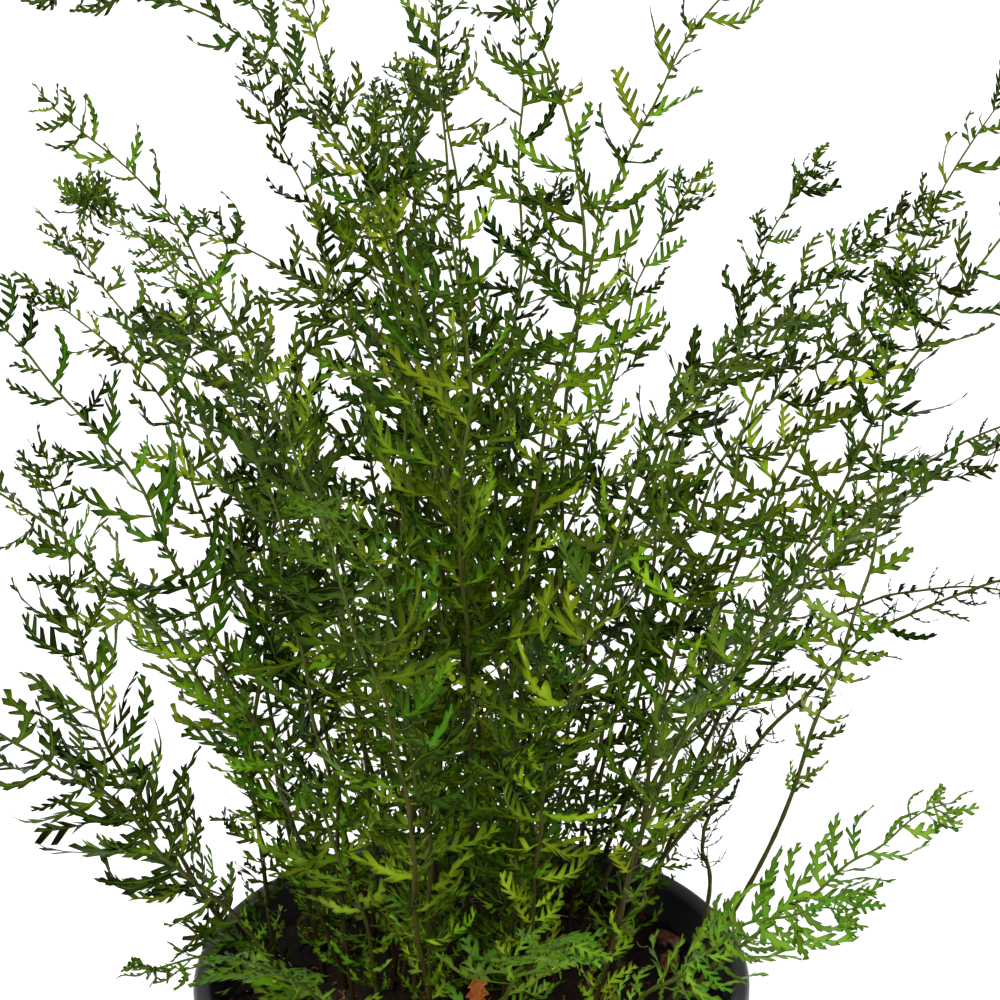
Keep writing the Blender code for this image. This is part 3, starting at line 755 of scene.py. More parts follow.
def frond_surface(node, habit, families, foliage, rng, materials):
    """One mesh: every leaflet's ribbon, then the stem."""
    leaflets = gather(node, habit, foliage, rng)
    roots, tips, fores, ups, rises, wings = leaflets.joined()
    count = len(roots)
    size = np.linalg.norm(tips - roots, axis=1)
    names, chances = zip(*MIXES[habit.mix])
    family = np.array(names, dtype=object)[rng.choice(len(names), count, p=chances)]
    family[(size < SHORT_LEAFLET) & np.isin(family, ("comb", "paired"))] = "short"
    family[wings] = "wing"
    frond_tone = habit.tone + rng.normal(0, 0.10)
    tone = frond_tone + rng.normal(0, 0.16, count) - 0.26 * (rises - 0.5)
    bow = habit.bow * rng.uniform(0.2, 1.8, count)
    arch = rng.normal(-0.10, habit.arch, count)
    roll = rng.normal(0, 0.35, count)
    turn = rng.normal(0, habit.twist, count)
    ripple = habit.ripple * rng.uniform(0.2, 1.4, count)
    phase = rng.uniform(0, 2 * math.pi, count)
    hue = rng.normal(0, 0.5) + rng.normal(0, 0.9, count)
    width = habit.width * np.clip(size / USUAL_LEAFLET, 0.25, 1.3) ** 0.6 * rng.uniform(0.8, 1.2, count)
    width[wings] = 1.0
    bends = np.stack([bow, arch, roll, turn, ripple, phase], 1)
    points, quads, flat = [], [], []
    marks = {"tone": [], "hue": [], "under": [], "along": [], "rise": []}
    columns = math.ceil(math.sqrt(count + 1))
    rows = 1 + math.ceil(count / columns)
    total, cell = 0, columns
    for name in sorted(set(family)):
        mine = np.flatnonzero(family == name)
        forms = families[name][rng.integers(len(families[name]), size=len(mine))]
        seats = roots[mine], tips[mine], fores[mine], ups[mine]
        made, flipped = carry(forms, *seats, width[mine], *bends[mine].T)
        rings = made.shape[1]
        quads.append(ribbon_quads(len(mine), rings, flipped) + total)
        flat.append(ribbon_map(len(mine), rings, flipped, cell, columns, rows))
        cell += len(mine)
        points.append(made.reshape(-1, 3))
        total += len(mine) * rings * 4
        for key, values in (("tone", tone), ("hue", hue), ("rise", rises)):
            marks[key].append(np.repeat(values[mine], rings * 4))
        marks["under"].append(np.tile([0.5, 0.0, 0.5, 1.0], len(mine) * rings))
        marks["along"].append(np.clip(forms[..., 0], 0, 1).ravel())
    tube, tube_quads, tube_triangles, rise = stem_tube(leaflets, foliage.stem_share, rng)
    points.append(tube)
    leaf_quads = sum(len(q) for q in quads)
    quads.append(tube_quads + total)
    none = np.zeros(len(tube))
    for key, values in zip(marks, (none + frond_tone, none, none, rise, rise)):
        marks[key].append(values)
    marks = {key: np.concatenate(values) for key, values in marks.items()}
    slots = np.concatenate([np.zeros(leaf_quads), np.ones(len(tube_quads) + len(tube_triangles))])
    # The stem takes the whole first row, and the fans that close it lie at the row's end.
    down = [0.0, 0.06] * np.arange(len(tube_triangles))[:, None, None]
    fans = np.array([[0.90, 0.90], [0.98, 0.90], [0.94, 0.945]]) - down
    tube_map = unrolled(STEM_RINGS, STEM_SIDES)
    stem_map = np.concatenate([tube_map.reshape(-1, 2), fans.reshape(-1, 2)]) / [1, rows]
    points, quads, flat = np.concatenate(points), np.concatenate(quads), np.concatenate([*flat, stem_map])
    triangles = tube_triangles + total
    piece = surface("live_" + node, points, quads, triangles, materials, slots, marks, flat_map=flat)
    crease_edges(piece.data, total)
    stand_for(piece, habit.slot, node)
    return piece


def leaf_material(name, dark, middle, light, underside, roughness):
    """Fresh fern blade under a thin waxy cuticle.

    The wax gives soft broken highlights, the cells beneath a fine pebbled grain, drawn about 0.9 mm across so
    that it shows, and the leaflets differ from each other more than each does along its length. Their tone
    ramp is partly painted light: its dark end is painted shade and its light end partly a painted highlight.
    Each has its own hue between yellow-green and blue-green. The underside is paler and duller, the midrib a
    faint lighter line, the blade darkened towards its margin as painted shade and a little brightened along
    its middle as a painted highlight, and a few tips are scorched brown.
    """
    glint = rgba((0.75, 1.0, 0.30))
    made, tree, shader = material(name, IOR=1.45, Specular_IOR_Level=0.11, Specular_Tint=glint)
    place = add(tree, "TexCoord", out="Object")
    tone = add(tree, "Attribute", attribute_name="tone", out="Fac")
    under = add(tree, "Attribute", attribute_name="under", out="Fac")
    along = add(tree, "Attribute", attribute_name="along", out="Fac")
    patches = add(tree, "TexNoise", {"Vector": place, "Scale": 1 / 0.009, "Detail": 3.0})
    grain = add(tree, "TexNoise", {"Vector": place, "Scale": 1 / 0.0009, "Detail": 2.0})
    shade = add(tree, "Math", [patches, 0.55, tone], operation="MULTIPLY_ADD")
    shade = add(tree, "Math", [shade, 0.28], operation="SUBTRACT")
    # Painted light: the ramp's dark end is painted shade and its light end partly a painted highlight, spread
    # over the leaflets by tone and patches.
    green = add(tree, "ValToRGB", {"Fac": shade}, stops=[(0.08, dark), (0.45, middle), (0.92, light)])
    rib = add(tree, "MapRange", [under, 0.06, 0.02, 0.0, 0.22])
    green = add(tree, "Mix", {0: rib, 6: green, 7: rgba(light)}, out=2, data_type="RGBA")
    below = add(tree, "MapRange", [under, 0.50, 0.53, 0.0, 0.55])
    green = add(tree, "Mix", {0: below, 6: green, 7: rgba(underside)}, out=2, data_type="RGBA")
    worn = add(tree, "Math", [along, patches], operation="MULTIPLY")
    scorch = add(tree, "MapRange", [worn, 0.64, 0.72, 0.0, 0.8])
    green = add(tree, "Mix", {0: scorch, 6: green, 7: rgba(linear("5A3E1E"))}, out=2, data_type="RGBA")
    strain = add(tree, "Attribute", attribute_name="hue", out="Fac")
    hue = add(tree, "MapRange", [strain, -2.0, 2.0, 0.478, 0.542])
    inward = add(tree, "Math", [under, 0.5], operation="SUBTRACT")
    inward = add(tree, "Math", [inward], operation="ABSOLUTE")
    # Painted shade and highlight: darkens the blade towards its margin and brightens it a little along its
    # middle, for relief.
    margin = add(tree, "MapRange", [inward, 0.04, 0.28, 0.55, 1.08])
    green = add(tree, "HueSaturation", {"Hue": hue, "Value": margin, "Color": green})
    gloss = add(tree, "MapRange", {"Value": grain, "To Min": roughness - 0.08, "To Max": roughness + 0.10})
    bumps = add(tree, "Bump", {"Height": grain, "Strength": 0.35, "Distance": 0.0002})
    coat(tree, shader, green, gloss, bumps)
    return made


def stem_material(name, foot, tip):
    """Wiry fern stalk: hard, ribbed along its length and slightly glossy, brown at the foot and green
    above.

    Fine streaks run up it, about 0.6 mm apart round the stalk, with small dark flecks where scales have
    dropped.
    """
    glint = rgba((1.0, 0.86, 0.5))
    made, tree, shader = material(name, IOR=1.45, Specular_IOR_Level=0.16, Specular_Tint=glint)
    place = add(tree, "TexCoord", out="Object")
    rise = add(tree, "Attribute", attribute_name="rise", out="Fac")
    stretched = add(tree, "Mapping", {"Vector": place, "Scale": (1.0, 1.0, 0.08)})
    streaks = add(tree, "TexNoise", {"Vector": stretched, "Scale": 1 / 0.0006, "Detail": 2.0})
    patches = add(tree, "TexNoise", {"Vector": place, "Scale": 1 / 0.02, "Detail": 3.0})
    height = add(tree, "Math", [patches, 0.35, rise], operation="MULTIPLY_ADD")
    stops = [(0.15, foot), (0.45, linear("42431A")), (0.85, tip)]
    colour = add(tree, "ValToRGB", {"Fac": height}, stops=stops)
    dark = add(tree, "MapRange", [streaks, 0.45, 0.7, 0.0, 0.5])
    colour = add(tree, "Mix", {0: dark, 6: colour, 7: rgba(linear("1E140A"))}, out=2, data_type="RGBA")
    gloss = add(tree, "MapRange", {"Value": streaks, "To Min": 0.34, "To Max": 0.55})
    bumps = add(tree, "Bump", {"Height": streaks, "Strength": 0.4, "Distance": 0.0003})
    coat(tree, shader, colour, gloss, bumps)
    return made


def mixed(a, b, share):
    return tuple(x + (y - x) * share for x, y in zip(a, b))


class GrowFronds(bpy.types.Operator):
    """Grows every frond: stem, leaflets and wings, with their materials"""

    bl_idname = "fern.grow_fronds"
    bl_label = "Grow Fronds"

    def execute(self, context):
        foliage = context.scene.fern_foliage
        shaded, mature, fresh_and_highlight, young = foliage.shaded, foliage.mature, foliage.fresh_and_highlight, foliage.young
        underside, foot, tip = foliage.underside, foliage.stem_foot, foliage.stem_tip
        # Each blade's first colour, the tone ramp's dark end, is painted shade; its third, the light end, is
        # partly a painted highlight.
        blades = {
            "frond": leaf_material("Mature fern blade", shaded, mature, fresh_and_highlight, underside, 0.44),
            "young_frond": leaf_material(
                "Young fern blade",
                mixed(mature, young, 0.30),
                young,
                mixed(young, linear("A3BC40"), 0.36),
                mixed(underside, young, 0.6),
                0.40,
            ),
            "wiry_frond": leaf_material(
                "Old wiry fern blade", linear("16240A"), shaded, mature, underside, 0.46
            ),
            "crested_frond": leaf_material(
                "Crested fern blade", shaded, mixed(mature, fresh_and_highlight, 0.4), linear("8A9A50"), underside, 0.48
            ),
        }
        stalks = {
            "frond": stem_material("Fern stalk", foot, tip),
            "young_frond": stem_material("Young fern stalk", mixed(foot, tip, 0.5), mixed(tip, young, 0.5)),
            "wiry_frond": stem_material("Wiry fern stalk", linear("241A10"), mixed(foot, tip, 0.4)),
        }
        stalks["crested_frond"] = stalks["frond"]
        rng = np.random.default_rng(foliage.seed)
        thickness = foliage.leaf_thickness
        families = {name: leaf_forms(rng, outline, thickness) for name, outline in OUTLINES.items()}
        for number, node in enumerate(sorted(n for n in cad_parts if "frond" in n)):
            kind = node.rsplit("_", 1)[0]
            rng = np.random.default_rng([foliage.seed, number])
            frond_surface(node, HABITS[kind], families, foliage, rng, (blades[kind], stalks[kind]))
        return {"FINISHED"}


# ---- pot -------------------------------------------------------------------------------------------


def pot_sizes():
    """(rim radius, base radius, height) read from the part's pot."""
    points = node_points("pot")
    r = np.hypot(points[:, 0], points[:, 1])
    height = points[:, 2].max()
    return r.max(), r[points[:, 2] < 0.1 * height].max(), height


def bend(centre_r, centre_z, radius, start, end, count):
    """Points on an arc of the profile, angles in degrees from straight out."""
    angles = np.radians(np.linspace(start, end, count))
    return [(centre_r + radius * math.cos(a), centre_z + radius * math.sin(a)) for a in angles]


def stretch(start, end, count):
    """Points between two ends of a straight part of the profile, without the first."""
    return [tuple(p) for p in np.linspace(start, end, count + 1)[1:]]


def pot_profile(pot):
    """The wall's section from the middle inside, over the rolled lip and down the outside to the middle
    underneath."""
    rim, base, height = pot_sizes()
    half = pot.lip / 2
    top, middle = height - half, rim - half
    mouth, skirt = rim - pot.lip, height - pot.skirt
    ring, rise, wall = base - pot.foot, pot.channel, pot.wall
    fillet = 0.4 * wall

    def floor(lift):
        raised = rise + lift
        return [(0.0, lift), (pot.pad, lift), (pot.pad + rise, raised), (ring - rise, raised), (ring, lift)]

    line = floor(wall)
    line += stretch(line[-1], (base - wall, wall), 3)
    line += stretch(line[-1], (mouth, top), 24)[:-1]
    line += bend(middle, top, half, 180, 0, 25)
    line += stretch((rim, top), (rim, skirt + fillet), 5)
    line += bend(rim - fillet, skirt + fillet, fillet, 0, -90, 5)[1:]
    line += bend(rim - wall + fillet, skirt + fillet, fillet, -90, -180, 5)
    line += stretch((rim - wall, skirt + fillet), (rim - wall, top), 4)
    line += bend(middle, top, half - wall, 0, 180, 9)[1:]
    line += stretch((mouth + wall, top), (base, 2 * wall), 24)
    line += bend(base - wall, 1.2 * wall, wall, 20, -70, 5)
    return np.array(line + floor(0.0)[::-1])


def pot_material(pot):
    """Moulded black polypropylene, with the fine matt grain of its mould.

    The grain is drawn about 1.2 mm across, coarser than the real one so that it shows. The sheen is
    satin, faint flow lines run round the wall about 9 mm apart, and dried compost dust clings inside and
    in a thin film low on the wall.
    """
    made, tree, shader = material("Moulded black polypropylene", IOR=1.49, Specular_IOR_Level=0.5)
    place = add(tree, "TexCoord", out="Object")
    grain = add(tree, "TexNoise", {"Vector": place, "Scale": 1 / 0.0012, "Detail": 3.0})
    film = add(tree, "TexNoise", {"Vector": place, "Scale": 1 / 0.035, "Detail": 6.0, "Roughness": 0.65})
    flat = add(tree, "Mapping", {"Vector": place, "Scale": (0.06, 0.06, 1.0)})
    flow = add(tree, "TexNoise", {"Vector": flat, "Scale": 1 / 0.009, "Detail": 2.0})
    height = add(tree, "SeparateXYZ", [place], out="Z")
    low = add(tree, "MapRange", [height, 0.0, 0.08, 0.30, 0.0])
    inside = add(tree, "Attribute", attribute_name="inside", out="Fac")
    settled = add(tree, "Math", [inside, low], operation="MAXIMUM")
    cover = add(tree, "MapRange", [film, 0.42, 0.72, 0.02, 1.0])
    dust = add(tree, "Math", [settled, 0.10], operation="ADD")
    dust = add(tree, "Math", [dust, cover], operation="MULTIPLY", use_clamp=True)
    stops = [(0.3, pot.plastic), (0.7, mixed(pot.plastic, WHITE, 0.012))]
    colour = add(tree, "ValToRGB", {"Fac": flow}, stops=stops)
    colour = add(tree, "Mix", {0: dust, 6: colour, 7: rgba(pot.dust)}, out=2, data_type="RGBA")
    gloss = add(tree, "MapRange", {"Value": grain, "To Min": 0.36, "To Max": 0.50})
    gloss = add(tree, "Math", [dust, 0.5, gloss], operation="MULTIPLY_ADD", use_clamp=True)
    bumps = add(tree, "Bump", {"Height": grain, "Strength": 0.25, "Distance": 0.0002})
    bumps = add(tree, "Bump", {"Height": flow, "Strength": 0.10, "Distance": 0.0005, "Normal": bumps})
    coat(tree, shader, colour, gloss, bumps)
    return made


class MouldPot(bpy.types.Operator):
    """Turns the pot's profile and drills its drain holes"""

    bl_idname = "fern.mould_pot"
    bl_label = "Mould Pot"

    def execute(self, context):
        pot = context.scene.fern_pot
        rim, base, height = pot_sizes()
        profile = pot_profile(pot)
        points, quads, triangles = revolve(profile[:, 0], profile[:, 1], 208)
        piece = surface("live_pot", points, quads, triangles, (pot_material(pot),))
        circle = (pot.pad + base - pot.foot) / 2
        for i in range(pot.holes):
            angle = 2 * math.pi * (i + 0.5) / pot.holes
            at = [circle * math.cos(angle), circle * math.sin(angle), 0]
            drill_z = np.array([6, 6, -6, -6]) * pot.wall + pot.channel
            points, quads, triangles = revolve([0, pot.hole / 2, pot.hole / 2, 0], drill_z, 40)
            bit = surface("drill", points + at, quads, triangles)
            cut = piece.modifiers.new("Drain hole", "BOOLEAN")
            cut.object, cut.operation, cut.solver = bit, "DIFFERENCE", "EXACT"
            cut.use_self = False
            graph = context.evaluated_depsgraph_get()
            drilled = bpy.data.meshes.new_from_object(piece.evaluated_get(graph))
            piece.modifiers.clear()
            piece.data = drilled
            bpy.data.objects.remove(bit)
        points = mesh_points(piece.data)
        r = np.hypot(points[:, 0], points[:, 1])
        wall_r = base + (points[:, 2] / height) * (rim - pot.lip - base) - 0.5 * pot.wall
        inside = (r < wall_r) & (points[:, 2] > 0.8 * pot.wall) & (points[:, 2] < height - pot.lip)
        layer = piece.data.attributes.new("inside", "FLOAT", "POINT")
        layer.data.foreach_set("value", inside.astype(np.float32))
        piece.data.set_sharp_from_angle(angle=math.radians(38))
        stand_for(piece, "pot_plastic", "pot")
        return {"FINISHED"}


# ---- compost, crown and litter ---------------------------------------------------------------------


class Ground:
    """Heights of the compost's dome and of the crown on it, read from the part."""

    def __init__(self):
        compost, crown = node_points("compost"), node_points("crown")
        r = np.hypot(compost[:, 0], compost[:, 1])
        edge = compost[r > r.max() - 1e-5]
        self.radius = r.max()
        self.fill = edge[:, 2].max()
        self.dome = compost[:, 2].max() - self.fill
        self.foot = compost[:, 2].min()
        self.foot_radius = r[compost[:, 2] < self.foot + 1e-4].max()
        self.crown_radius = np.hypot(crown[:, 0], crown[:, 1]).max()
        self.crown_top = crown[:, 2].max()

    def compost_height(self, r):
        return self.fill + self.dome * (1 - (r / self.radius) ** 2)

    def crown_height(self, r):
        """Parabolic dome over the compost, down to it at the crown's edge."""
        rise = self.crown_top - self.compost_height(0.0)
        return self.compost_height(r) + rise * np.clip(1 - (r / self.crown_radius) ** 2, 0, 1) ** 0.8

    def height(self, r):
        return np.where(r < self.crown_radius, self.crown_height(r), self.compost_height(r))


def earth_material(name, dark, pale, size):
    """Damp peat compost: near-black crumbs with reddish fibre, mottled at random.

    Crumbs are about the size given, and it is matt all over but for damp glints.
    """
    made, tree, shader = material(name, IOR=1.4, Specular_IOR_Level=0.25)
    place = add(tree, "TexCoord", out="Object")
    crumbs = add(tree, "TexVoronoi", {"Vector": place, "Scale": 1 / size, "Randomness": 1.0}, out="Distance")
    tint = add(tree, "TexNoise", {"Vector": place, "Scale": 1 / (size * 3), "Detail": 4.0})
    fine = add(tree, "TexNoise", {"Vector": place, "Scale": 1 / (size * 0.35), "Detail": 4.0})
    stops = [(0.30, mixed(dark, (0, 0, 0), 0.45)), (0.55, dark), (0.78, pale)]
    mottle = add(tree, "Math", [fine, 0.5], operation="MULTIPLY")
    mottle = add(tree, "Math", [tint, 0.5, mottle], operation="MULTIPLY_ADD")
    colour = add(tree, "ValToRGB", {"Fac": mottle}, stops=stops)
    gloss = add(tree, "MapRange", {"Value": fine, "To Min": 0.70, "To Max": 0.98})
    bumps = add(tree, "Bump", {"Height": crumbs, "Strength": 0.8, "Distance": 0.0008})
    bumps = add(tree, "Bump", {"Height": fine, "Strength": 0.6, "Distance": 0.0004, "Normal": bumps})
    coat(tree, shader, colour, gloss, bumps)
    return made


def dry_material(name, base, dark, size):
    """Dry plant matter, such as bark, straw or a shed leaf: matt and fibrous, with streaks and darker
    patches."""
    made, tree, shader = material(name, IOR=1.4, Specular_IOR_Level=0.2)
    place = add(tree, "TexCoord", out="Object")
    streaked = add(tree, "Mapping", {"Vector": place, "Scale": (1.0, 0.35, 1.0)})
    streaks = add(tree, "TexNoise", {"Vector": streaked, "Scale": 1 / size, "Detail": 4.0, "Roughness": 0.6})
    patches = add(tree, "TexNoise", {"Vector": place, "Scale": 1 / (size * 6), "Detail": 2.0})
    blend = add(tree, "Math", [streaks, 0.6], operation="MULTIPLY")
    blend = add(tree, "Math", [patches, 0.4, blend], operation="MULTIPLY_ADD")
    stops = [(0.34, dark), (0.50, base), (0.70, mixed(base, WHITE, 0.12))]
    colour = add(tree, "ValToRGB", {"Fac": blend}, stops=stops)
    gloss = add(tree, "MapRange", {"Value": streaks, "To Min": 0.62, "To Max": 0.92})
    bumps = add(tree, "Bump", {"Height": streaks, "Strength": 0.6, "Distance": 0.0004})
    coat(tree, shader, colour, gloss, bumps)
    return made


def pebbles(places, sizes, rng):
    """Small rough crumbs: each a ball of three rings of six and two poles, its points pushed in and out
    at random."""
    around = 6
    tilt = np.radians([45, 0, -45])
    angles = np.linspace(0, 2 * math.pi, around, endpoint=False)
    rings = turned(np.cos(tilt), np.sin(tilt), angles)
    ball = np.concatenate([rings.reshape(-1, 3), [[0, 0, 1], [0, 0, -1]]])
    count = len(places)
    shaped = ball[None] * rng.uniform(0.72, 1.22, (count, len(ball), 1))
    shaped = shaped * rng.uniform(0.55, 1.2, (count, 1, 3))
    spin = rng.uniform(0, 2 * math.pi, count)
    cos, sin = np.cos(spin)[:, None], np.sin(spin)[:, None]
    x, y = shaped[..., 0] * cos - shaped[..., 1] * sin, shaped[..., 0] * sin + shaped[..., 1] * cos
    shaped = np.stack([x, y, shaped[..., 2]], -1) * sizes[:, None, None] + places[:, None]
    quads = grid_quads(len(tilt), around, wrap=True)[:, ::-1]
    first = np.arange(around)
    last = (len(tilt) - 1) * around + first
    triangles = np.concatenate([fan(first, len(ball) - 2), fan(last, len(ball) - 1, backwards=True)])
    shift = (np.arange(count) * len(ball))[:, None, None]
    quads, triangles = quads[None] + shift, triangles[None] + shift
    return shaped.reshape(-1, 3), quads.reshape(-1, 4), triangles.reshape(-1, 3)


def strands(starts, ends, sag, radius, rng, rings=7):
    """Thin four-sided strands with closed ends: each a straight line from start to end, bowed aside by 4
    t (1 - t) sag, and thickest in the middle."""
    t = np.linspace(0, 1, rings)[None, :, None]
    along = ends - starts
    aside = unit(np.cross(along, rng.normal(size=along.shape)))
    line = starts[:, None] + t * along[:, None] + (4 * t * (1 - t)) * sag[:, None, None] * aside[:, None]
    ways = unit(np.gradient(line, axis=1))
    right = square_to(np.broadcast_to(unit(rng.normal(size=along.shape))[:, None], ways.shape), ways)
    front = np.cross(ways, right)
    taper = (0.35 + 0.65 * np.sin(math.pi * (0.12 + 0.76 * t)))[..., None]
    rounds = np.stack([right, front, -right, -front], 2)
    points = line[:, :, None] + radius[:, None, None, None] * taper * rounds
    quads = ribbon_quads(len(starts), rings, np.zeros(len(starts), bool))
    return points.reshape(-1, 3), quads, np.zeros((0, 3), int)


def scattered(count, inner, outer, rng):
    """Random places on a ring between two radii, even by area, as (radius, x, y)."""
    r = np.sqrt(rng.uniform(inner**2, outer**2, count))
    angle = rng.uniform(0, 2 * math.pi, count)
    return r, r * np.cos(angle), r * np.sin(angle)


def joined(parts):
    """Several (points, quads, triangles, slot) in one set of arrays."""
    total = 0
    moved = []
    for points, quads, triangles, slot in parts:
        slots = np.full(len(quads), slot), np.full(len(triangles), slot)
        moved.append((points, quads + total, triangles + total, *slots))
        total += len(points)
    points, quads, triangles, quad_slots, triangle_slots = (np.concatenate(arrays) for arrays in zip(*moved))
    return points, quads, triangles, np.concatenate([quad_slots, triangle_slots])


class FillCompost(bpy.types.Operator):
    """Fills the pot with lumpy compost, and scatters crumbs and dry fibres on it"""

    bl_idname = "fern.fill_compost"
    bl_label = "Fill Compost"

    def execute(self, context):
        compost = context.scene.fern_compost
        rng = np.random.default_rng(compost.seed)
        ground = Ground()
        top = np.linspace(0, ground.radius, 62)
        side = np.linspace(ground.fill, ground.foot + 0.004, 8)[1:]
        side_radii = np.interp(side, [ground.foot, ground.fill], [ground.foot_radius, ground.radius])
        radii = np.concatenate([top, side_radii, [ground.foot_radius - 0.012, 0.0]])
        heights = np.concatenate([ground.compost_height(top), side, [side[-1], side[-1]]])
        points, quads, triangles = revolve(radii, heights, 230)
        r = np.hypot(points[:, 0], points[:, 1])
        upper = points[:, 2] > ground.fill - 1e-6
        rough = lumpy(points, ((0.6, 0.014), (0.5, 0.0055), (0.35, 0.0022)), rng)
        fade = np.clip((ground.radius - r) / 0.002, 0.25, 1)
        points[:, 2] += np.where(upper, compost.lump * (rough * fade - 0.35), 0)
        earth = earth_material("Damp peat compost", compost.peat, compost.bark, 0.0022)
        piece = surface("live_compost", points, quads, triangles, (earth,))
        stand_for(piece, "compost", "compost")

        bark = dry_material("Composted bark", compost.bark, linear("22140C"), 0.0012)
        straw = dry_material("Dry fibre", compost.fibre, linear("5C4A33"), 0.0009)
        r, x, y = scattered(compost.crumbs, 0.0, ground.radius - 0.003, rng)
        sizes = rng.gamma(3.0, 0.00032, compost.crumbs) + 0.0005
        red = rng.random(compost.crumbs) < 0.3
        places = np.stack([x, y, ground.compost_height(r) + 0.3 * sizes], 1)
        dark_crumbs = pebbles(places[~red], sizes[~red], rng)
        red_crumbs = pebbles(places[red], sizes[red] * 1.25, rng)
        r, x, y = scattered(compost.fibres, 0.045, ground.radius - 0.010, rng)
        heading = rng.uniform(0, 2 * math.pi, compost.fibres)
        half = rng.uniform(0.002, 0.008, compost.fibres)
        rise = rng.normal(0.0004, 0.0006, compost.fibres)
        reach = np.stack([np.cos(heading) * half, np.sin(heading) * half, rise], 1)
        middle = np.stack([x, y, ground.compost_height(r) + 0.0011], 1)
        sag = rng.uniform(0.0002, 0.0018, compost.fibres)
        radius = rng.uniform(0.00018, 0.00042, compost.fibres)
        fibres = strands(middle - reach, middle + reach, sag, radius, rng)
        points, quads, triangles, slots = joined([(*dark_crumbs, 0), (*red_crumbs, 1), (*fibres, 2)])
        piece = surface("live_crumbs", points, quads, triangles, (earth, bark, straw), slots)
        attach(piece, BODY)
        return {"FINISHED"}


class ShapeCrown(bpy.types.Operator):
    """Shapes the scaly crown of rhizomes that the stems rise from"""

    bl_idname = "fern.shape_crown"
    bl_label = "Shape Crown"

    def execute(self, context):
        compost = context.scene.fern_compost
        rng = np.random.default_rng(compost.seed + 1)
        ground = Ground()
        edge = ground.crown_radius
        top = np.linspace(0, edge, 52)
        radii = np.concatenate([top, [0.985 * edge, 0.5 * edge, 0.0]])
        floor = ground.compost_height(edge) - 0.002
        heights = np.concatenate([ground.crown_height(top) - 0.0012, [floor, floor, floor]])
        points, quads, triangles = revolve(radii, heights, 200)
        upper = points[:, 2] > floor + 1e-5
        r = np.hypot(points[:, 0], points[:, 1])
        rough = lumpy(points, ((0.9, 0.016), (0.5, 0.007), (0.25, 0.003)), rng)
        points[:, 2] += np.where(upper, 0.0016 * (rough - 0.3) * np.clip((edge - r) / 0.006, 0, 1), 0)
        hide = earth_material("Scaly rhizome", compost.root, linear("4A3018"), 0.0035)
        chaff = dry_material("Chaffy scale", linear("7A5228"), linear("3A2412"), 0.0010)
        stub = dry_material("Old stem stub", linear("4A3620"), linear("1E140C"), 0.0012)
        parts = [(points, quads, triangles, 0)]
        r, x, y = scattered(compost.scales, 0.0, edge - 0.002, rng)
        base = np.stack([x, y, ground.height(r) - 0.001], 1)
        lean = rng.normal(0, 0.7, (compost.scales, 3)) + [0, 0, 1.0]
        size = rng.uniform(0.0015, 0.0042, compost.scales)[:, None]
        sag, radius = rng.uniform(0.0001, 0.0007, compost.scales), rng.uniform(0.0002, 0.0005, compost.scales)
        parts.append((*strands(base, base + unit(lean) * size, sag, radius, rng, 5), 1))
        r, x, y = scattered(compost.stubs, 0.0, edge - 0.004, rng)
        base = np.stack([x, y, ground.height(r) - 0.002], 1)
        lean = unit(rng.normal(0, 0.35, (compost.stubs, 3)) + [0, 0, 1.0])
        size = rng.uniform(0.006, 0.016, compost.stubs)[:, None]
        sag, radius = rng.uniform(0.0002, 0.0012, compost.stubs), rng.uniform(0.0006, 0.0010, compost.stubs)
        parts.append((*strands(base, base + lean * size, sag, radius, rng, 6), 2))
        points, quads, triangles, slots = joined(parts)
        piece = surface("live_crown", points, quads, triangles, (hide, chaff, stub), slots)
        stand_for(piece, "rhizome", "crown")
        return {"FINISHED"}


def chip_surface(node, rng):
    """A torn bark chip inside its node's box: a slab on a grid round its long axis, furrowed along it,
    with torn ends.

    Each ring is a flattened square of sixteen points at a share t along the chip, narrower towards both
    ends, and the slab is arched by 0.30 cos(2.4 t) times its half thickness.
    """
    box = node_points(node)
    low, high = box.min(0), box.max(0)
    middle = (low + high) / 2
    flat = box[:, :2] - middle[:2]
    long_axis = np.linalg.svd(flat - flat.mean(0), full_matrices=False)[2][0]
    along = np.array([*long_axis, 0.0])
    across = np.array([-long_axis[1], long_axis[0], 0.0])
    half = np.abs(flat @ along[:2]).max() * 0.98
    wide = np.abs(flat @ across[:2]).max() * 0.86
    thick = (high[2] - low[2]) / 2 * 0.9
    rings, sides = 15, 16
    t = np.linspace(-1, 1, rings)[:, None]
    angle = np.linspace(0, 2 * math.pi, sides, endpoint=False)[None]
    swell = (1 - np.abs(t) ** 8 * 0.30) * (1 + 0.16 * np.sin(3 * t + rng.uniform(0, 6)))
    square = (np.abs(np.cos(angle)) ** 7 + np.abs(np.sin(angle)) ** 7) ** (-1 / 7)
    y = 0.92 * wide * swell * square * np.cos(angle) * rng.uniform(0.86, 1.06, (rings, sides))
    split = rng.uniform(0.72, 1.05, (1, sides)) * rng.uniform(0.92, 1.05, (rings, sides))
    z = 0.62 * thick * square * np.sin(angle) * split + thick * (0.30 * np.cos(t * 2.4) - 0.15)
    x = half * t * (0.88 + 0.10 * np.sin(3 * angle + rng.uniform(0, 6)) * np.abs(t) ** 3)
    shape = middle + x[..., None] * along + y[..., None] * across + z[..., None] * np.array([0, 0, 1.0])
    poles = [shape[0].mean(0) - along * half * 0.03, shape[-1].mean(0) + along * half * 0.03]
    shape = np.concatenate([shape.reshape(-1, 3), poles])
    return shape, grid_quads(rings, sides, wrap=True), tube_ends(rings, sides)


SHED_LEAF_THICKNESS = 0.4 * MM


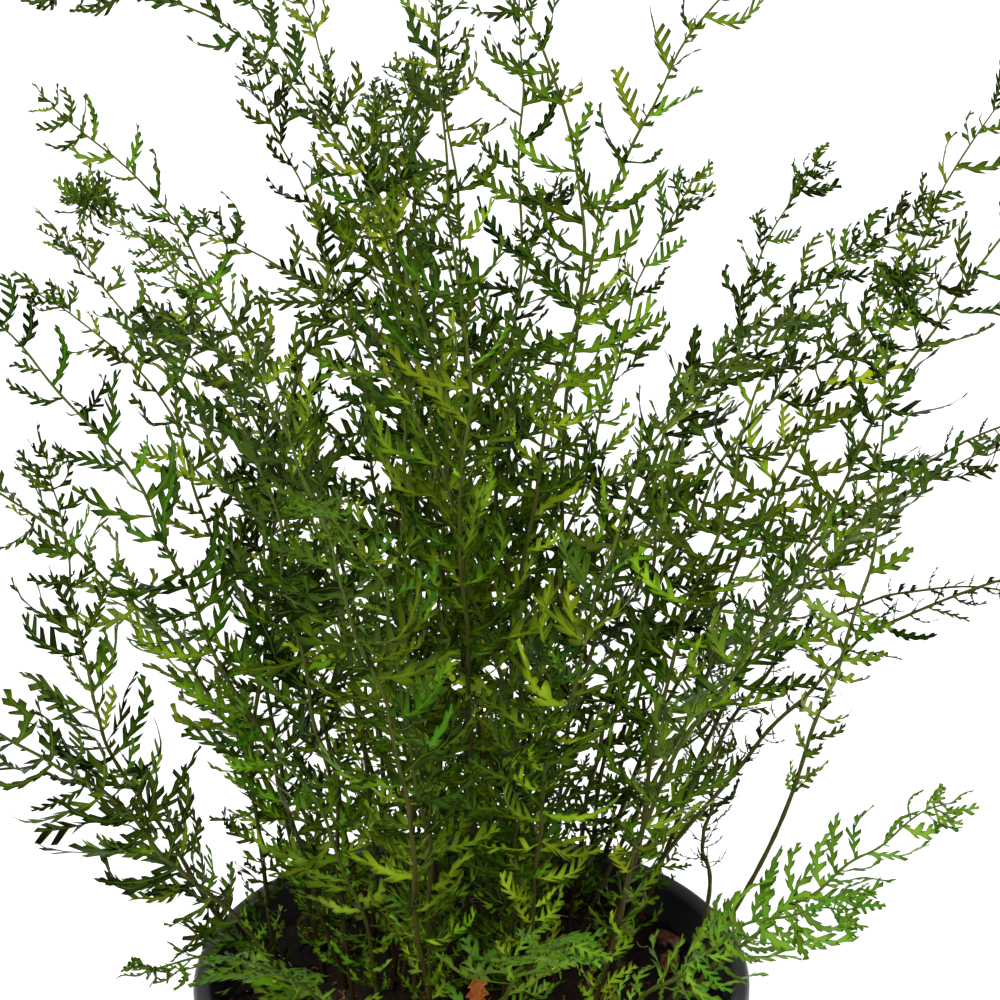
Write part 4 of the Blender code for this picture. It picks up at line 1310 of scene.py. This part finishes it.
def shed_leaf(node, rng):
    """A curled shed leaflet on its node's three axes: a grid of share t along and s across.

    Its margins are torn into teeth that point to the tip. It is turned about its length by 0.5 sin(2.1 t
    + 0.4) and curled up at the ends. A second sheet lies behind it, and a rim joins the two.
    """
    box = node_points(node)
    axes = np.linalg.svd(box - box.mean(0), full_matrices=False)[2]
    along = axes[0] * (1 if axes[0, 2] >= 0 else -1)
    across = axes[1]
    over = np.cross(along, across)
    if over[2] - over[1] < 0:
        across, over = -across, -over
    reach = np.stack([box @ axis for axis in (along, across, over)], 1)
    low, high = reach.min(0), reach.max(0)
    half, wide, tall = (high - low) * [0.485, 0.485, 1.0]
    middle = ((low + high) / 2 * [1, 1, 0] + low * [0, 0, 1]) @ np.stack([along, across, over])
    rows, columns = 41, 13
    t, s = np.meshgrid(np.linspace(-1, 1, rows), np.linspace(-1, 1, columns), indexing="ij")
    lobed = 1 - 0.52 * ((3.4 * t + 0.5 * np.sign(s)) % 1.0) * rng.uniform(0.8, 1.2, (rows, 1))
    outline = 0.72 * wide * np.sqrt(np.clip(1 - np.abs(t) ** 2.3, 0.02, 1)) * lobed
    spin = 0.5 * np.sin(2.1 * t + 0.4)
    y = s * outline * np.cos(spin) + 0.20 * wide * (1 - t * t)
    z = tall * (0.50 * t**2 + 0.20 * s**2) + s * outline * np.sin(spin)
    z = z - z.min() * (1 - np.abs(t) ** 4) + 0.05 * tall * (1 - np.abs(s)) ** 6
    x = half * np.clip(t + 0.10 * np.abs(s) * (1 - np.abs(t)), -1, 1)
    z = z + SHED_LEAF_THICKNESS
    upper = middle + x[..., None] * along + y[..., None] * across + z[..., None] * over
    lower = upper - SHED_LEAF_THICKNESS * over
    upper, lower = upper.reshape(-1, 3), lower.reshape(-1, 3)
    quads = grid_quads(rows, columns)
    count = rows * columns
    number = np.arange(count).reshape(rows, columns)
    rim = np.concatenate([number[0, :], number[1:, -1], number[-1, -2::-1], number[-2:0:-1, 0]])
    after = np.roll(rim, -1)
    wall = np.stack([rim, after, after + count, rim + count], 1)
    normal = np.cross(upper[quads[0, 1]] - upper[quads[0, 0]], upper[quads[0, 3]] - upper[quads[0, 0]])
    if normal @ over < 0:
        quads = quads[:, ::-1]
    else:
        wall = wall[:, ::-1]
    return np.concatenate([upper, lower]), np.concatenate([quads, quads[:, ::-1] + count, wall])


class LayLitter(bpy.types.Operator):
    """Lays the bark chips and the two shed leaves on the compost"""

    bl_idname = "fern.lay_litter"
    bl_label = "Lay Litter"

    def execute(self, context):
        compost = context.scene.fern_compost
        bark = dry_material("Pine bark chip", linear("643019"), linear("1E0F08"), 0.0009)
        for number, node in enumerate(sorted(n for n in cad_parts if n.startswith("bark_chip"))):
            rng = np.random.default_rng([compost.seed, number])
            points, quads, triangles = chip_surface(node, rng)
            stand_for(surface("live_" + node, points, quads, triangles, (bark,)), "bark", node)
        leaves = (("dead_leaf", compost.dead, "5A2E12"), ("yellow_leaf", compost.yellow, "8C6A24"))
        for node, colour, dark in leaves:
            rng = np.random.default_rng([compost.seed, len(node)])
            points, quads = shed_leaf(node, rng)
            papery = dry_material("Shed " + node.replace("_", " "), colour, linear(dark), 0.0009)
            stand_for(surface("live_" + node, points, quads, None, (papery,)), node, node)
        return {"FINISHED"}


# ---- stage -----------------------------------------------------------------------------------------

FLOOR_HALF = 14.0


def aimed(place, target):
    """The rotation that points an object's -Z from place to target."""
    return (Vector(target) - Vector(place)).to_track_quat("-Z", "Y").to_euler()


class SetStage(bpy.types.Operator):
    """Sets the plain floor, the soft studio light and the camera"""

    bl_idname = "fern.set_stage"
    bl_label = "Set Stage"

    def execute(self, context):
        stage = context.scene.fern_stage
        made, tree, shader = material(
            "Lit studio floor",
            Roughness=0.9,
            Specular_IOR_Level=0.1,
            Emission_Color=rgba(WHITE),
            Emission_Strength=stage.glow,
        )
        place = add(tree, "TexCoord", out="Object")
        faint = add(tree, "TexNoise", {"Vector": place, "Scale": 3.0})
        stops = [(0.3, stage.floor), (0.7, mixed(stage.floor, WHITE, 0.3))]
        tree.links.new(add(tree, "ValToRGB", {"Fac": faint}, stops=stops), shader.inputs["Base Color"])
        half = FLOOR_HALF
        corners = [(-half, -half, 0), (half, -half, 0), (half, half, 0), (-half, half, 0)]
        floor = surface("studio_floor", corners, [[0, 1, 2, 3]], None, (made,), smooth=False)

        world = bpy.data.worlds.new("White surroundings")
        context.scene.world = world
        world.use_nodes = True
        tree = world.node_tree
        # Plain white behind everything, whatever strength the surroundings light it with.
        seen = add(tree, "LightPath", out="Is Camera Ray")
        strength = add(tree, "MapRange", {"Value": seen, "To Min": stage.sky, "To Max": 1.0})
        background = tree.nodes["Background"]
        background.inputs["Color"].default_value = rgba(WHITE)
        tree.links.new(strength, background.inputs["Strength"])

        middle = (0.0, 0.0, 0.30)
        key = bpy.data.lights.new("key_light", "SUN")
        key.energy, key.angle = stage.key, math.radians(42)
        fill = bpy.data.lights.new("fill_light", "AREA")
        fill.energy, fill.size = stage.fill, 0.9
        for data, place in ((key, (-0.62, -0.80, 1.70)), (fill, (1.10, -0.70, 0.80))):
            light = bpy.data.objects.new(data.name, data)
            light.location, light.rotation_euler = place, aimed(place, middle)
            context.scene.collection.objects.link(light)

        rim_height = pot_sizes()[2]
        data = bpy.data.cameras.new("camera")
        data.sensor_width, data.lens = 36.0, stage.lens
        data.clip_start, data.clip_end = 0.02, 60.0
        camera = bpy.data.objects.new("camera", data)
        camera.location = (stage.aside, -stage.distance, rim_height + stage.height)
        camera.rotation_euler = (math.pi / 2 - stage.pitch, 0.0, 0.0)
        context.scene.collection.objects.link(camera)
        context.scene.camera = camera
        context.scene.view_settings.view_transform = "Standard"
        return {"FINISHED"}


# ---- panel and registration ------------------------------------------------------------------------

MAKERS = (SetStage, MouldPot, FillCompost, ShapeCrown, LayLitter, GrowFronds)
GROUPS = {
    "fern_foliage": FernFoliage,
    "fern_pot": FernPot,
    "fern_compost": FernCompost,
    "fern_stage": FernStage,
}


class FernPanel(bpy.types.Panel):
    """Sizes, colours and makers of the potted fern"""

    bl_idname = "VIEW3D_PT_potted_fern"
    bl_label = "Potted Fern"
    bl_space_type = "VIEW_3D"
    bl_region_type = "UI"
    bl_category = "Fern"

    def draw(self, context):
        for maker in MAKERS:
            self.layout.operator(maker.bl_idname)
        for name, group in GROUPS.items():
            box = self.layout.box()
            box.label(text=group.__doc__)
            for key in group.__annotations__:
                box.prop(getattr(context.scene, name), key)


def register():
    for group in GROUPS.values():
        bpy.utils.register_class(group)
    for name, group in GROUPS.items():
        setattr(bpy.types.Scene, name, bpy.props.PointerProperty(type=group))
    for maker in (*MAKERS, FernPanel):
        bpy.utils.register_class(maker)


def unregister():
    for maker in (FernPanel, *reversed(MAKERS)):
        bpy.utils.unregister_class(maker)
    for name in GROUPS:
        delattr(bpy.types.Scene, name)
    for group in GROUPS.values():
        bpy.utils.unregister_class(group)


def main():
    register()
    bpy.ops.fern.set_stage()
    bpy.ops.fern.mould_pot()
    bpy.ops.fern.fill_compost()
    bpy.ops.fern.shape_crown()
    bpy.ops.fern.lay_litter()
    bpy.ops.fern.grow_fronds()
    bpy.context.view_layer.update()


if __name__ == "__main__":
    main()
